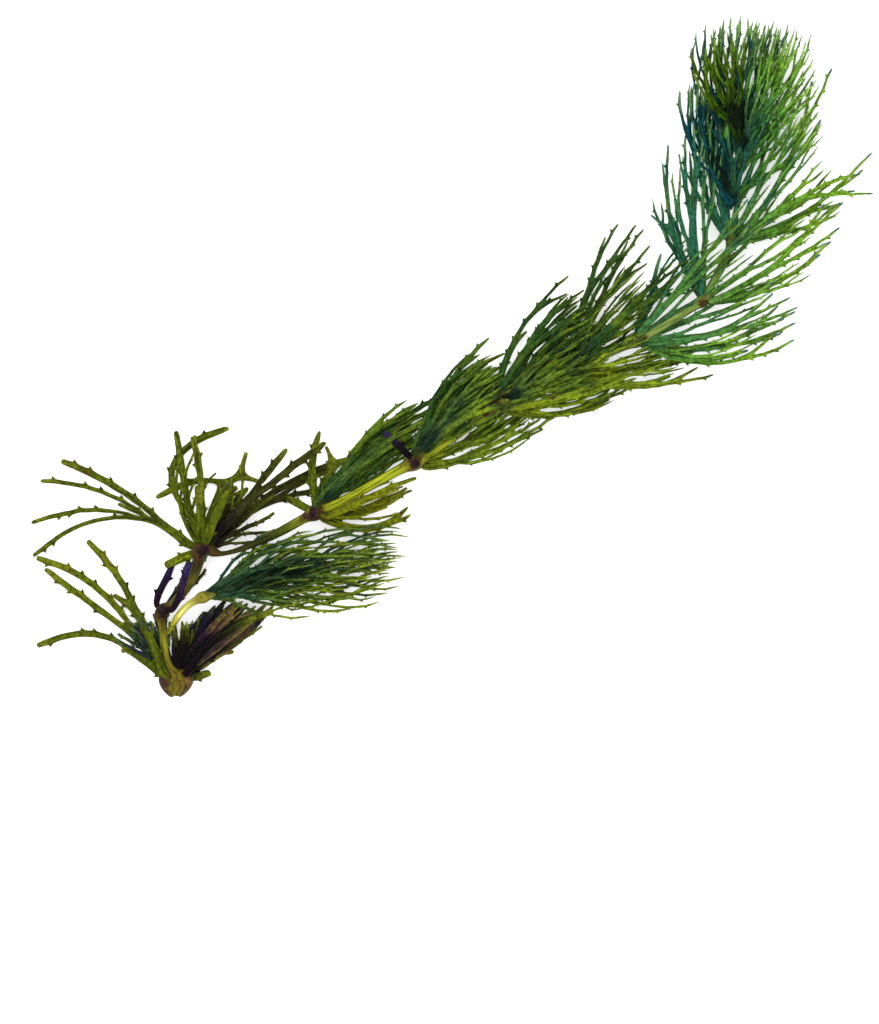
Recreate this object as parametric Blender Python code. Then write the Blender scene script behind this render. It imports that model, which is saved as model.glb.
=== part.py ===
"""A cut sprig of hornwort, an aquarium plant, lying flat on a surface.

Metres, +Z up. The surface is z = 0 and the origin is the middle of the sprig's footprint on it.
The stem runs from the cut end at the lower left to the tip at the upper right, and carries a
whorl of forked leaves at each joint. Three solids stand for the dense brushes of young leaves.
"""

import math
from dataclasses import dataclass, field

import bmesh
import bpy
import numpy as np
from mathutils import Vector


@dataclass
class Joint:
    """A joint of a stem and its whorl: the place, the height of the stem's middle, the radius of
    the swelling and the width of a leaf where it grows from it."""

    at: tuple
    height: float
    radius: float
    leaf_width: float
    blunt_tips: bool = False
    forks_again: bool = False
    least_turn: float = 60.0


@dataclass
class BrushForm:
    """A brush of young leaves: its joint, how far from it the brush begins, the height of its
    middle at its base and at its tips, its thickness and its tips, from left to right."""

    joint: str
    start: float
    heights: tuple
    thickness: float
    tips: list
    on_top: bool = False


MM = 0.001

# Sizes in millimetres
LEAF_THICKNESS = 0.30
TIP_THICKNESS = 0.20
TIP_WIDTH = 0.16
CLEARANCE = 0.06
SPAN = 2.6
STEM_SPAN = 2.4
BRUSH_SPAN = 3.6
BEAD_SPACING = 0.35
SAG = 0.15
LEAF_ARCH = 1.8
UNDER_FALL = 4.0
FORK_LOOK = 1.5
FORK_RISE = 1.2
FORK_CLEAR = 3.0
SHORTEST_STRETCH = 3.0
BRUSH_BASE_WIDTH = 1.4
JOINT_MARGIN = 1.2
HEADING_STEP = 0.1

# Shares of a leaf's own sizes
FORK_SHARE = 0.70
FORK_SPLAY = 0.60
STRETCH_TAPER = 0.10
BLUNT_SHARE = 0.75
CROTCH_SHARE = 0.35
BESIDE_FALL = 0.65
TIP_DROOP = 0.75
SECOND_FORK = 0.66
SECOND_REACH = 0.90
BRUSH_FORKS = (0.34, 0.50, 0.68)
BRUSH_FULLEST = 0.40
BRUSH_FILL = 0.80

# Angles in degrees. A leaf that leaves its joint at more than OVER_LIFT passes over or under the
# stem. The second fork of a young leaf opens by SECOND_SPREAD, towards the leaf's middle where
# its first fork is wider than WIDE_FORK.
OVER_LIFT = 28.0
SECOND_SPREAD = 3.5
WIDE_FORK = 8.0

SMOOTHING_PASSES = 4
WAY_POINTS = 41
STEM_BEADS = 6

# The swelling of a joint: how far along the stem and how wide, both as shares of its radius
JOINT_PROFILE = ((-1.1, 0.52), (-0.6, 0.85), (0.0, 1.0), (0.6, 0.85), (1.1, 0.52))

# The joints of the main stem, from the cut end to the tip, and the one joint of the side stem.
# The leaves of whorls 1 to 4 are old and have lost their fine tips.
WHORLS = {
    "whorl1": Joint((-32.9, -38.9), 1.7, 1.25, 0.80, blunt_tips=True),
    "whorl2": Joint((-34.7, -30.8), 2.0, 1.10, 0.60, blunt_tips=True),
    "whorl3": Joint((-29.9, -23.2), 2.3, 1.35, 0.90, blunt_tips=True, least_turn=20.0),
    "whorl4": Joint((-16.4, -18.8), 2.6, 1.15, 0.80, blunt_tips=True),
    "whorl5": Joint((-4.5, -12.7), 2.9, 1.25, 0.70, forks_again=True),
    "whorl6": Joint((5.3, -6.1), 3.1, 1.15, 0.65, forks_again=True),
    "whorl7": Joint((13.7, -2.2), 3.2, 1.05, 0.65, forks_again=True),
    "whorl8": Joint((22.0, 1.7), 3.2, 0.95, 0.65, forks_again=True),
    "whorl9": Joint((29.9, 6.6), 3.2, 0.95, 0.60, forks_again=True),
    "whorl10": Joint((33.3, 13.4), 3.2, 0.85, 0.55, forks_again=True),
    "side_whorl": Joint((-29.8, -28.9), 2.9, 0.75, 0.50),
}

# The leaves of each joint. A leaf is its name, the angle at which it leaves the joint, up from
# level, and what it grows into. A tip is its bearing in degrees, its reach from the joint in
# millimetres and its bow, how far the way there bulges to the left as a share of the reach. A
# fork is its distance from the joint and what each side of it grows into.
LEAVES = {
    "whorl1": [
        ("west_upper_leaf", 10, (9.5, (123, 19.8, -0.17), (127, 12.7, -0.13))),
        ("west_middle_leaf", -5, (6.5, (139, 22.3, -0.28), (140, 20.7, -0.01))),
        ("west_lower_leaf", 0, (6.0, (166, 17.3, -0.43), (153, 7.5, 0.06))),
        ("east_upper_leaf", 25, (4.5, (36, 14.0, 0.25), (39, 12.3, 0.16))),
        ("east_lower_leaf", 0, (4.5, (33, 10.3, 0.20), (27, 7.5, 0.16))),
        ("east_stub", -5, (13, 3.8, -0.11)),
    ],
    "whorl2": [
        ("north_stub", 0, (78, 6.3, 0.01)),
        ("north_east_stub", 5, (62, 7.2, -0.05)),
    ],
    "whorl3": [
        (
            "west_leaf",
            0,
            (
                4.6,
                (148, 19.9, -0.12),
                (
                    5.8,
                    (6.6, (157, 21.0, -0.22), (150, 11.4, -0.09)),
                    (7.0, (171, 20.7, -0.29), (182, 20.3, -0.41)),
                ),
            ),
        ),
        ("curled_west_leaf", 10, (3.6, (78, 14.9, 0.88), (103, 14.4, 0.03))),
        ("curled_middle_leaf", 35, (5.5, (95, 13.4, -0.09), (95, 7.6, -0.08))),
        ("curled_east_leaf", 0, (7.0, (133, 8.4, -1.60), (8.8, (50, 10.6, 0.40), (66, 12.6, 0.10)))),
        ("broken_leaf", 45, (6.5, (69, 8.6, 0.06), (61, 8.5, 0.11))),
        ("torn_leaf", 10, (4.0, (64, 6.6, 0.08), (54, 9.3, -0.02))),
        ("east_upper_leaf", 30, (7.0, (50, 15.8, -0.02), (41, 19.6, 0.05))),
        ("east_lower_leaf", -20, (6.5, (32, 20.3, 0.13), (9.0, (32, 18.0, 0.11), (27, 16.4, 0.10)))),
        ("stub", 0, (203, 4.8, 0.04)),
    ],
    "whorl4": [
        ("north_leaf", 20, (87, 10.0, 0.18)),
        ("north_east_leaf", -10, (5.0, (81, 8.0, -0.13), (55, 7.6, 0.17))),
        ("first_leaf", 20, (7.0, (43, 20.7, 0.11), (42, 18.8, 0.08))),
        ("second_leaf", 50, (6.5, (40, 17.0, 0.09), (39, 15.1, 0.08))),
        ("third_leaf", -55, (6.5, (36, 13.0, 0.07), (33, 11.1, 0.07))),
        ("fourth_leaf", 40, (6.0, (19, 12.7, 0.03), (16, 10.3, 0.03))),
        ("fifth_leaf", -25, (4.5, (9.0, (13, 11.8, -0.03), (15, 11.3, -0.04)), (10, 10.1, -0.14))),
        ("south_east_leaf", 0, (8.5, (4, 11.2, -0.37), (359, 11.5, -0.30))),
        ("stub", 0, (153, 3.8, -0.20)),
    ],
    "whorl5": [
        ("stub", 0, (136, 5.0, 0.15)),
        ("first_leaf", 20, (9.0, (59, 17.5, 0.15), (50, 17.0, 0.23))),
        ("second_leaf", -40, (8.0, (46, 16.8, 0.18), (40, 16.5, 0.19))),
        ("third_leaf", 60, (8.0, (35, 16.0, 0.12), (29, 15.7, 0.12))),
        ("fourth_leaf", -60, (8.0, (27, 11.2, -0.11), (24, 15.2, 0.01))),
        ("fifth_leaf", 0, (6.0, (18, 17.9, -0.07), (19, 16.0, -0.17))),
    ],
    "whorl6": [
        ("first_leaf", 15, (7.0, (61, 18.1, 0.25), (68, 9.8, 0.11))),
        ("second_leaf", 40, (6.5, (53, 17.6, 0.16), (48, 17.2, 0.14))),
        ("third_leaf", -45, (7.0, (45, 18.4, 0.02), (39, 18.1, 0.04))),
        ("fourth_leaf", 55, (7.5, (15, 15.8, -0.03), (15, 19.0, -0.09))),
        ("fifth_leaf", -10, (7.0, (9, 16.7, -0.24), (4, 13.8, -0.17))),
    ],
    "whorl7": [
        ("first_leaf", 10, (9.5, (71, 19.3, 0.14), (65, 20.0, 0.12))),
        ("second_leaf", -30, (9.0, (62, 19.9, 0.08), (57, 18.6, 0.08))),
        ("third_leaf", 50, (8.5, (43, 20.3, 0.05), (42, 18.3, 0.00))),
        ("fourth_leaf", -50, (7.0, (7, 17.9, -0.03), (16, 14.9, -0.12))),
        ("fifth_leaf", 15, (7.0, (0, 17.8, -0.16), (359, 12.6, -0.17))),
    ],
    "whorl8": [
        ("first_leaf", 10, (5.0, (74, 11.2, 0.17), (42, 8.8, 0.30))),
        ("second_leaf", 60, (6.0, (52, 21.5, 0.01), (42, 21.6, 0.02))),
        ("third_leaf", 30, (9.5, (16, 19.3, -0.12), (12, 19.9, -0.09))),
        ("fourth_leaf", -20, (9.0, (11, 19.7, -0.21), (7, 19.5, -0.17))),
        ("fifth_leaf", 5, (7.0, (1, 19.1, -0.32), (356, 13.7, -0.19))),
    ],
    "whorl9": [
        ("first_leaf", 5, (8.0, (102, 19.4, 0.12), (121, 12.2, -0.01))),
        ("second_leaf", 35, (8.0, (96, 20.0, 0.05), (93, 21.7, 0.04))),
        ("third_leaf", 30, (8.5, (35, 20.7, -0.08), (28, 18.7, -0.06))),
        ("fourth_leaf", -15, (4.5, (25, 17.3, -0.16), (9, 7.7, -0.15))),
    ],
    "whorl10": [
        ("first_leaf", 10, (9.5, (33, 20.5, -0.07), (20, 14.5, -0.16))),
        ("second_leaf", 40, (9.0, (28, 17.7, 0.21), (19, 18.2, 0.18))),
        ("third_leaf", -20, (6.0, (12, 9.6, -0.13), (23, 8.8, -0.11))),
        ("fourth_leaf", 25, (9.5, (60, 24.6, -0.08), (54, 18.7, -0.06))),
    ],
}

# The brushes of young leaves. Each side of a fork takes half of the tips.
BRUSHES = {
    "side_brush": BrushForm(
        joint="side_whorl",
        start=1.9,
        heights=(2.9, 0.4),
        thickness=1.9,
        tips=[
            (18, 24.1, 0.22),
            (16, 25.0, 0.16),
            (13, 25.0, 0.10),
            (11, 25.0, 0.05),
            (7, 22.8, 0.01),
            (4, 20.8, -0.03),
            (0, 19.3, -0.06),
            (353, 13.2, -0.12),
        ],
    ),
    "tip_brush_lower": BrushForm(
        joint="whorl10",
        start=3.5,
        heights=(2.6, 0.4),
        thickness=1.8,
        tips=[
            (100, 23.1, 0.12),
            (95, 26.5, 0.07),
            (90, 27.2, 0.02),
            (86, 26.9, 0.00),
            (82, 26.9, 0.00),
            (78, 27.4, 0.00),
            (73, 27.2, 0.00),
            (66, 22.4, 0.02),
        ],
    ),
    "tip_brush_upper": BrushForm(
        joint="whorl10",
        start=3.5,
        heights=(3.9, 2.4),
        thickness=1.5,
        on_top=True,
        tips=[
            (97, 25.6, 0.08),
            (93, 27.0, 0.03),
            (88, 27.2, 0.00),
            (84, 27.4, 0.00),
            (80, 26.7, 0.00),
            (76, 26.9, 0.00),
            (70, 27.3, 0.01),
            (62, 20.8, 0.02),
        ],
    ),
}

# The way of the main stem between its joints: place and radius
MAIN_STEM_ROUTE = [
    (-33.25, -40.75, 0.62),
    "whorl1",
    (-34.1, -36.7, 0.62),
    (-34.6, -34.1, 0.60),
    "whorl2",
    (-33.2, -29.5, 0.60),
    (-31.5, -27.5, 0.66),
    (-30.5, -25.2, 0.75),
    "whorl3",
    (-27.7, -23.8, 0.28),
    (-26.0, -23.4, 0.34),
    (-24.3, -22.8, 0.45),
    (-21.3, -21.5, 0.60),
    (-18.5, -19.9, 0.66),
    "whorl4",
    (-12.9, -17.3, 0.60),
    (-8.1, -14.6, 0.66),
    "whorl5",
    (0.3, -9.7, 0.60),
    "whorl6",
    (9.5, -4.1, 0.58),
    "whorl7",
    (17.9, -0.1, 0.56),
    "whorl8",
    (26.1, 4.0, 0.64),
    "whorl9",
    (31.9, 10.1, 0.55),
    "whorl10",
    (33.1, 16.0, 0.42),
]
SIDE_STEM_ROUTE = [
    (-33.5, -32.4, 0.34),
    (-32.7, -30.9, 0.36),
    (-31.5, -29.7, 0.36),
    "side_whorl",
    (-28.2, -28.6, 0.34),
]

# Linear colours, and how rough the surfaces are
STEM_OLIVE = (0.16, 0.14, 0.02)
STEM_YELLOW = (0.35, 0.33, 0.05)
YOUNG_GREEN = (0.05, 0.16, 0.03)
OLD_OLIVE = (0.13, 0.12, 0.02)
STEM_ROUGHNESS = 0.45
LEAF_ROUGHNESS = 0.50


@dataclass
class Ring:
    """A cross-section of a leaf: its middle, the unit vector to its left and its half sizes."""

    place: np.ndarray
    left: np.ndarray
    half_width: float
    half_thickness: float
    z: float


@dataclass
class Stretch:
    """The rings of a leaf up to its next fork, and the two stretches beyond it."""

    rings: list
    forks: list = field(default_factory=list)

    def spans(self):
        return list(zip(self.rings, self.rings[1:]))


@dataclass
class Nudge:
    """A sideways shift of a branch: it grows over its rise, and fades out by its finish."""

    offset: np.ndarray
    begin: float
    finish: float
    rise: float = 0.0

    def at(self, distance):
        grown = ease((distance - self.begin) / self.rise) if self.rise else 1.0
        faded = ease((distance - self.begin) / (self.finish - self.begin))
        return self.offset * grown * (1.0 - faded)


class Way:
    """The way from a leaf's base to one tip, seen from above, by the distance along it."""

    def __init__(self, base, joint, tip):
        bearing, reach, bow = tip
        end = joint + reach * heading(bearing)
        control = (base + end) / 2 + bow * left_of(end - base)
        t = np.linspace(0.0, 1.0, WAY_POINTS)[:, None]
        self.points = (1 - t) ** 2 * base + 2 * t * (1 - t) * control + t**2 * end
        steps = np.linalg.norm(np.diff(self.points, axis=0), axis=1)
        self.along = np.concatenate([[0.0], np.cumsum(steps)])
        self.length = float(self.along[-1])

    def at(self, distance):
        x = np.interp(distance, self.along, self.points[:, 0])
        y = np.interp(distance, self.along, self.points[:, 1])
        return np.array([x, y])


class Pile:
    """What lies on the surface so far, as beads with a place, a radius, a top and an owner."""

    def __init__(self):
        self.places = np.empty((0, 2))
        self.radii = np.empty(0)
        self.tops = np.empty(0)
        self.owners = np.empty(0, dtype=object)

    def add(self, beads, owner):
        self.places = np.vstack([self.places, [bead[0] for bead in beads]])
        self.radii = np.append(self.radii, [bead[1] for bead in beads])
        self.tops = np.append(self.tops, [bead[2] for bead in beads])
        self.owners = np.append(self.owners, [owner] * len(beads))

    def apart_from(self, place, distance):
        """The beads of the pile that are further than a distance from a place."""
        kept = np.linalg.norm(self.places - place, axis=1) > distance
        rest = Pile()
        rest.places, rest.radii = self.places[kept], self.radii[kept]
        rest.tops, rest.owners = self.tops[kept], self.owners[kept]
        return rest

    def top_under(self, place, radius, skipped_owner):
        """The highest top within a bead's radius, apart from one owner's."""
        apart = np.linalg.norm(self.places - place, axis=1) - self.radii
        touched = (apart < radius + CLEARANCE) & (self.owners != skipped_owner)
        return float(self.tops[touched].max()) if touched.any() else 0.0


def heading(bearing):
    angle = math.radians(bearing)
    return np.array([math.cos(angle), math.sin(angle)])


def unit(vector):
    return vector / np.linalg.norm(vector)


def left_of(vector):
    return np.array([-vector[1], vector[0]])


def bearing_of(vector):
    return math.degrees(math.atan2(vector[1], vector[0]))


def turn_between(start, end):
    """The turn from one bearing to another, positive to the left."""
    return (end - start + 180.0) % 360.0 - 180.0


def ease(share):
    """Goes from 0 to 1 with a soft start and end."""
    share = min(max(share, 0.0), 1.0)
    return share * share * (3.0 - 2.0 * share)


def steps_between(start, end, span):
    """Distances from a start to an end, without the start, about a span apart."""
    count = max(1, round((end - start) / span))
    return np.linspace(start, end, count + 1)[1:]


def clear_scene():
    for item in list(bpy.data.objects):
        bpy.data.objects.remove(item, do_unlink=True)


def plant_material(name, colour, roughness):
    material = bpy.data.materials.new(name)
    material.use_nodes = True
    shader = material.node_tree.nodes["Principled BSDF"]
    shader.inputs["Base Color"].default_value = (*colour, 1.0)
    shader.inputs["Roughness"].default_value = roughness
    shader.inputs["Metallic"].default_value = 0.0
    return material


def place_of(stop):
    """The place of a stop on a stem's route, which is a joint's name or a point of its own."""
    return np.array(WHORLS[stop].at if isinstance(stop, str) else stop[:2])


def stem_stops(route):
    """The stops of a stem with its heights, and five for each joint, which is a swelling."""
    places = [place_of(stop) for stop in route]
    marks = [i for i, stop in enumerate(route) if isinstance(stop, str)]
    along = np.cumsum([0.0] + [np.linalg.norm(b - a) for a, b in zip(places, places[1:])])
    heights = np.interp(along, along[marks], [WHORLS[route[i]].height for i in marks])
    stops = []
    for i, stop in enumerate(route):
        if not isinstance(stop, str):
            stops.append((*stop[:2], heights[i], stop[2]))
            continue
        radius = WHORLS[stop].radius
        back, onward = unit(places[i] - places[i - 1]), unit(places[i + 1] - places[i])
        through = unit(back + onward)
        for (step, share), way in zip(JOINT_PROFILE, (back, through, through, through, onward)):
            place = places[i] + way * step * radius
            stops.append((*place, heights[i], radius * share))
    return stops


def smooth_route(stops):
    """Points on a smooth curve through a stem's stops, each with its radius."""
    stops = np.array(stops)
    route = []
    for i in range(len(stops) - 1):
        start, end = stops[i], stops[i + 1]
        slope_in = (end - stops[max(i - 1, 0)]) / 2
        slope_out = (stops[min(i + 2, len(stops) - 1)] - start) / 2
        pieces = max(1, round(np.linalg.norm(end[:3] - start[:3]) / STEM_SPAN))
        for t in np.arange(pieces) / pieces:
            ends = (2 * t**3 - 3 * t**2 + 1) * start + (3 * t**2 - 2 * t**3) * end
            slopes = (t**3 - 2 * t**2 + t) * slope_in + (t**3 - t**2) * slope_out
            route.append(ends + slopes)
    route.append(stops[-1])
    return route


def make_stem(name, route, colour, collection):
    """A stem is a round tube, filled at its ends, with a swelling at each joint."""
    curve = bpy.data.curves.new(name, "CURVE")
    curve.dimensions = "3D"
    curve.bevel_depth = MM
    curve.bevel_resolution = 2
    curve.use_fill_caps = True
    spline = curve.splines.new("POLY")
    spline.points.add(len(route) - 1)
    for point, (x, y, z, radius) in zip(spline.points, route):
        point.co = (x * MM, y * MM, z * MM, 1.0)
        point.radius = radius
    curve.materials.append(plant_material(name, colour, STEM_ROUGHNESS))
    collection.objects.link(bpy.data.objects.new(name, curve))


def is_fork(tree):
    return isinstance(tree[1], tuple)


def tips_of(tree):
    """The tips that a leaf's tree ends in."""
    return tips_of(tree[1]) + tips_of(tree[2]) if is_fork(tree) else [tree]


def fork_again(tip, start, side):
    """Splits a tip of a young leaf, with the new tip on the given side, if there is room."""
    bearing, reach, bow = tip
    if SECOND_FORK * reach < start + SHORTEST_STRETCH:
        return tip
    return (SECOND_FORK * reach, tip, (bearing + side * SECOND_SPREAD, SECOND_REACH * reach, bow))


def young_tree(tree):
    """A young leaf forks again beyond its first fork."""
    fork, first, second = tree
    turn = turn_between(second[0], first[0])
    side = 1.0 if turn >= 0 else -1.0
    if abs(turn) > WIDE_FORK:
        side = -side
    return (fork, fork_again(first, fork, side), fork_again(second, fork, -side))


def place_on(ways, nudges, distance):
    """The middle of a branch: the mean of the ways to its tips, with its nudges."""
    shift = sum(nudge.at(distance) for nudge in nudges)
    return np.mean([way.at(distance) for way in ways], axis=0) + shift


def ring_at(place_at, distance, half_width, half_thickness, z):
    """A ring across the way at a distance along it."""
    onward = place_at(distance + HEADING_STEP) - place_at(distance - HEADING_STEP)
    left = unit(left_of(onward))
    return Ring(place_at(distance), left, half_width, half_thickness, z)


class Leaf:
    """One leaf: where it leaves its joint, and how its rings are laid out."""

    def __init__(self, joint_name, leaf_name, rank, lift, tree):
        joint = WHORLS[joint_name]
        self.name = f"{joint_name}_{leaf_name}"
        self.joint_name = joint_name
        self.rank = rank
        self.lift = lift
        self.blunt = joint.blunt_tips or not is_fork(tree)
        tree = young_tree(tree) if joint.forks_again and is_fork(tree) else tree
        middle = np.array(joint.at)
        aim = np.mean([heading(tip[0]) for tip in tips_of(tree)], axis=0)
        self.base, self.base_z = self.base_beside(joint, middle, bearing_of(aim))
        self.end_z = joint.height * TIP_DROOP
        ways = [Way(self.base, middle, tip) for tip in tips_of(tree)]
        self.length = max(way.length for way in ways)
        first = self.ring(ways, [], 0.0, joint.leaf_width / 2)
        self.stretch = self.plan(tree, ways, [first], 0.0, joint.leaf_width, [])

    def base_beside(self, joint, middle, bearing):
        """Where the leaf begins, just outside the joint's swelling."""
        rise, level = math.sin(math.radians(self.lift)), math.cos(math.radians(self.lift))
        stem_bearing = joint_bearing(MAIN_STEM_ROUTE, self.joint_name)
        turn = turn_between(stem_bearing, bearing)
        side = math.copysign(max(abs(turn), joint.least_turn), turn)
        outward = joint.radius + CLEARANCE
        outward += joint.leaf_width / 2 * abs(math.cos(math.radians(turn)) * level)
        outward += LEAF_THICKNESS / 2 * abs(rise)
        place = middle + outward * level * heading(stem_bearing + side)
        return place, joint.height + outward * rise

    def height(self, distance):
        """The height of a leaf's middle where nothing else is in its way."""
        if self.lift > OVER_LIFT:
            share = distance / self.length
            arch = LEAF_ARCH * math.sin(math.radians(self.lift)) * math.sin(math.pi * share)
            return self.base_z + arch + (self.end_z - self.base_z) * ease(share)
        fall = BESIDE_FALL * self.length if self.lift > -OVER_LIFT else UNDER_FALL
        return self.base_z + (TIP_THICKNESS / 2 - self.base_z) * ease(distance / fall)

    def ring(self, ways, nudges, distance, half_width):
        share = distance / self.length
        half_thickness = (LEAF_THICKNESS + (TIP_THICKNESS - LEAF_THICKNESS) * share) / 2
        z = max(self.height(distance), half_thickness)

        def place_at(d):
            return place_on(ways, nudges, d)

        return ring_at(place_at, distance, half_width, half_thickness, z)

    def plan(self, tree, ways, rings, start, width, nudges):
        """Lays out the rings from a distance along the leaf up to its next fork or its tip."""
        end = tree[0] if is_fork(tree) else ways[0].length
        for distance in steps_between(start, end, SPAN):
            share = (distance - start) / (end - start)
            half_width = width / 2 * (1.0 - STRETCH_TAPER * share)
            if distance == end and not is_fork(tree):
                half_width = half_width * BLUNT_SHARE if self.blunt else TIP_WIDTH / 2
            rings.append(self.ring(ways, nudges, distance, half_width))
        stretch = Stretch(rings)
        if is_fork(tree):
            narrow = width * (1.0 - STRETCH_TAPER) * FORK_SHARE
            stretch.forks = self.plan_forks(tree, ways, rings[-1], narrow, nudges)
        return stretch

    def plan_forks(self, tree, ways, ring, width, nudges):
        """Lays out the two sides of a fork, the left one first."""
        distance = tree[0]
        split = len(tips_of(tree[1]))
        sides = [(tree[1], ways[:split]), (tree[2], ways[split:])]
        sides.sort(key=lambda side: -float(place_on(side[1], [], distance + FORK_LOOK) @ ring.left))
        forks = []
        for sign, (branch, branch_ways) in zip((1.0, -1.0), sides):
            finish = max(way.length for way in branch_ways)
            join = ring.place - place_on(branch_ways, nudges, distance)
            splay = sign * FORK_SPLAY * width * ring.left
            passed = nudges + [
                Nudge(join, distance, finish),
                Nudge(splay, distance, finish, FORK_RISE),
            ]
            forks.append(self.plan(branch, branch_ways, [ring], distance, width, passed))
        return forks


class Brush:
    """A brush of young leaves as one spread solid that splits into a finger for each tip."""

    def __init__(self, name, form, route):
        middle = np.array(WHORLS[form.joint].at)
        bearing = joint_bearing(route, form.joint)
        base = middle + form.start * heading(bearing)
        self.name = name
        self.joint_name = form.joint
        self.form = form
        self.ways = [Way(base, middle, tip) for tip in form.tips]
        self.length = max(way.length for way in self.ways)
        across = BRUSH_BASE_WIDTH / 2 * left_of(heading(bearing))
        first = self.ring(0.0, base + across, base - across)
        self.stretch = self.plan(0, len(self.ways) - 1, [first], 0.0, 0)

    def half_thickness(self, distance):
        share = distance / self.length
        full, base, tip = self.form.thickness / 2, BRUSH_BASE_WIDTH / 2, TIP_THICKNESS / 2
        if share < BRUSH_FULLEST:
            return base + (full - base) * ease(share / BRUSH_FULLEST)
        return full + (tip - full) * ease((share - BRUSH_FULLEST) / (1.0 - BRUSH_FULLEST))

    def ring(self, distance, left, right):
        """A ring between a left and a right edge."""
        base_z, tip_z = self.form.heights
        half_thickness = self.half_thickness(distance)
        z = max(base_z + (tip_z - base_z) * ease(distance / self.length), half_thickness)
        half_width = np.linalg.norm(left - right) / 2
        return Ring((left + right) / 2, unit(left - right), half_width, half_thickness, z)

    def edges(self, first, last, distance):
        """The edges of the part from one tip's way to another's, most of half a finger beyond."""
        places = [way.at(distance) for way in self.ways]
        before = places[first - 1] if first else 2 * places[0] - places[1]
        after = places[last + 1] if last + 1 < len(places) else 2 * places[-1] - places[-2]
        left = places[first] + BRUSH_FILL / 2 * (before - places[first])
        right = places[last] + BRUSH_FILL / 2 * (after - places[last])
        return left, right

    def plan(self, first, last, rings, start, depth):
        """Lays out the rings of the part from one tip's way to another's, up to its fork or tip."""
        shortest = min(way.length for way in self.ways[first : last + 1])
        end = BRUSH_FORKS[depth] * shortest if last > first else shortest
        for distance in steps_between(start, end, BRUSH_SPAN):
            left, right = self.edges(first, last, distance)
            if first == last and distance == end:
                across = TIP_WIDTH / 2 * unit(left - right)
                tip = self.ways[first].at(distance)
                left, right = tip + across, tip - across
            rings.append(self.ring(distance, left, right))
        stretch = Stretch(rings)
        if last > first:
            half = (first + last) // 2
            for low, high in ((first, half), (half + 1, last)):
                stretch.forks.append(self.plan(low, high, [rings[-1]], end, depth + 1))
        return stretch


def stretches_of(stretch):
    """A stretch and all that it forks into."""
    found = [stretch]
    for fork in stretch.forks:
        found += stretches_of(fork)
    return found


def beads_between(a, b):
    """Beads from one ring to the next, each its place, radius, middle and half thickness."""
    count = max(2, math.ceil(float(np.linalg.norm(b.place - a.place)) / BEAD_SPACING))
    beads = []
    for t in np.linspace(0.0, 1.0, count + 1):
        place = a.place * (1 - t) + b.place * t
        radius = a.half_width * (1 - t) + b.half_width * t
        z = a.z * (1 - t) + b.z * t
        half_thickness = a.half_thickness * (1 - t) + b.half_thickness * t
        beads.append((place, radius, z, half_thickness))
    return beads


def height_above(pile, a, b, joint_name):
    """How high the middle of a leaf runs between two rings to clear what lies under it."""
    return max(
        pile.top_under(place, radius, joint_name) + half_thickness + CLEARANCE
        for place, radius, _, half_thickness in beads_between(a, b)
    )


def raise_over(spans, pile, joint_name):
    """Raises the rings of some spans to clear what lies under them."""
    needed = [height_above(pile, a, b, joint_name) for a, b in spans]
    for (a, b), height in zip(spans, needed):
        if height > CLEARANCE + max(a.half_thickness, b.half_thickness):
            a.z = max(a.z, height)
            b.z = max(b.z, height)


def beads_of(stretch):
    """The beads of a stretch as a pile holds them, each its place, radius and top."""
    beads = [bead for a, b in stretch.spans() for bead in beads_between(a, b)]
    return [(place, radius, z + half_thickness) for place, radius, z, half_thickness in beads]


def raise_over_itself(stretches):
    """Raises a leaf's later branches where they cross its earlier ones, away from their fork."""
    own = Pile()
    for stretch in stretches:
        raise_over(stretch.spans(), own.apart_from(stretch.rings[0].place, FORK_CLEAR), "")
        own.add(beads_of(stretch), "own")


def settle(piece, pile, may_cross_itself=True):
    """Lifts a leaf or a brush where it would cut what lies under it, and adds it to the pile."""
    stretches = stretches_of(piece.stretch)
    bends = []
    for stretch in stretches:
        raise_over(stretch.spans(), pile, piece.joint_name)
        bends += zip(stretch.rings, stretch.rings[1:], stretch.rings[2:])
        bends += [(stretch.rings[-2], stretch.rings[-1], fork.rings[1]) for fork in stretch.forks]
    for _ in range(SMOOTHING_PASSES):
        if may_cross_itself:
            raise_over_itself(stretches)
        for before, middle, after in bends:
            middle.z = max(middle.z, (before.z + after.z) / 2 - SAG)
    for stretch in stretches:
        pile.add(beads_of(stretch), piece.name)


def add_stem(pile, route):
    """Adds a stem's beads to the pile, each owned by the joint that it is part of, if any."""
    for a, b in zip(route, route[1:]):
        for t in np.linspace(0.0, 1.0, STEM_BEADS):
            x, y, z, radius = a * (1 - t) + b * t
            owner = "stem"
            for name, joint in WHORLS.items():
                if math.dist((x, y), joint.at) < joint.radius + JOINT_MARGIN:
                    owner = name
            pile.add([(np.array([x, y]), radius, z + radius)], owner)


def lay_down(leaves, brushes, routes):
    """Lays everything down from the bottom up, so that each piece lies on what it crosses."""
    pile = Pile()
    under = [leaf for leaf in leaves if leaf.lift < -OVER_LIFT]
    beside = [leaf for leaf in leaves if abs(leaf.lift) <= OVER_LIFT]
    over = [leaf for leaf in leaves if leaf.lift > OVER_LIFT]
    for leaf in sorted(under, key=lambda leaf: (leaf.rank, leaf.lift)):
        settle(leaf, pile)
    for route in routes:
        add_stem(pile, route)
    for brush in brushes:
        if not brush.form.on_top:
            settle(brush, pile, may_cross_itself=False)
    for leaf in sorted(beside, key=lambda leaf: (leaf.lift, leaf.rank)):
        settle(leaf, pile)
    for brush in brushes:
        if brush.form.on_top:
            settle(brush, pile, may_cross_itself=False)
    for leaf in sorted(over, key=lambda leaf: (-leaf.rank, leaf.lift)):
        settle(leaf, pile)


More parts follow.
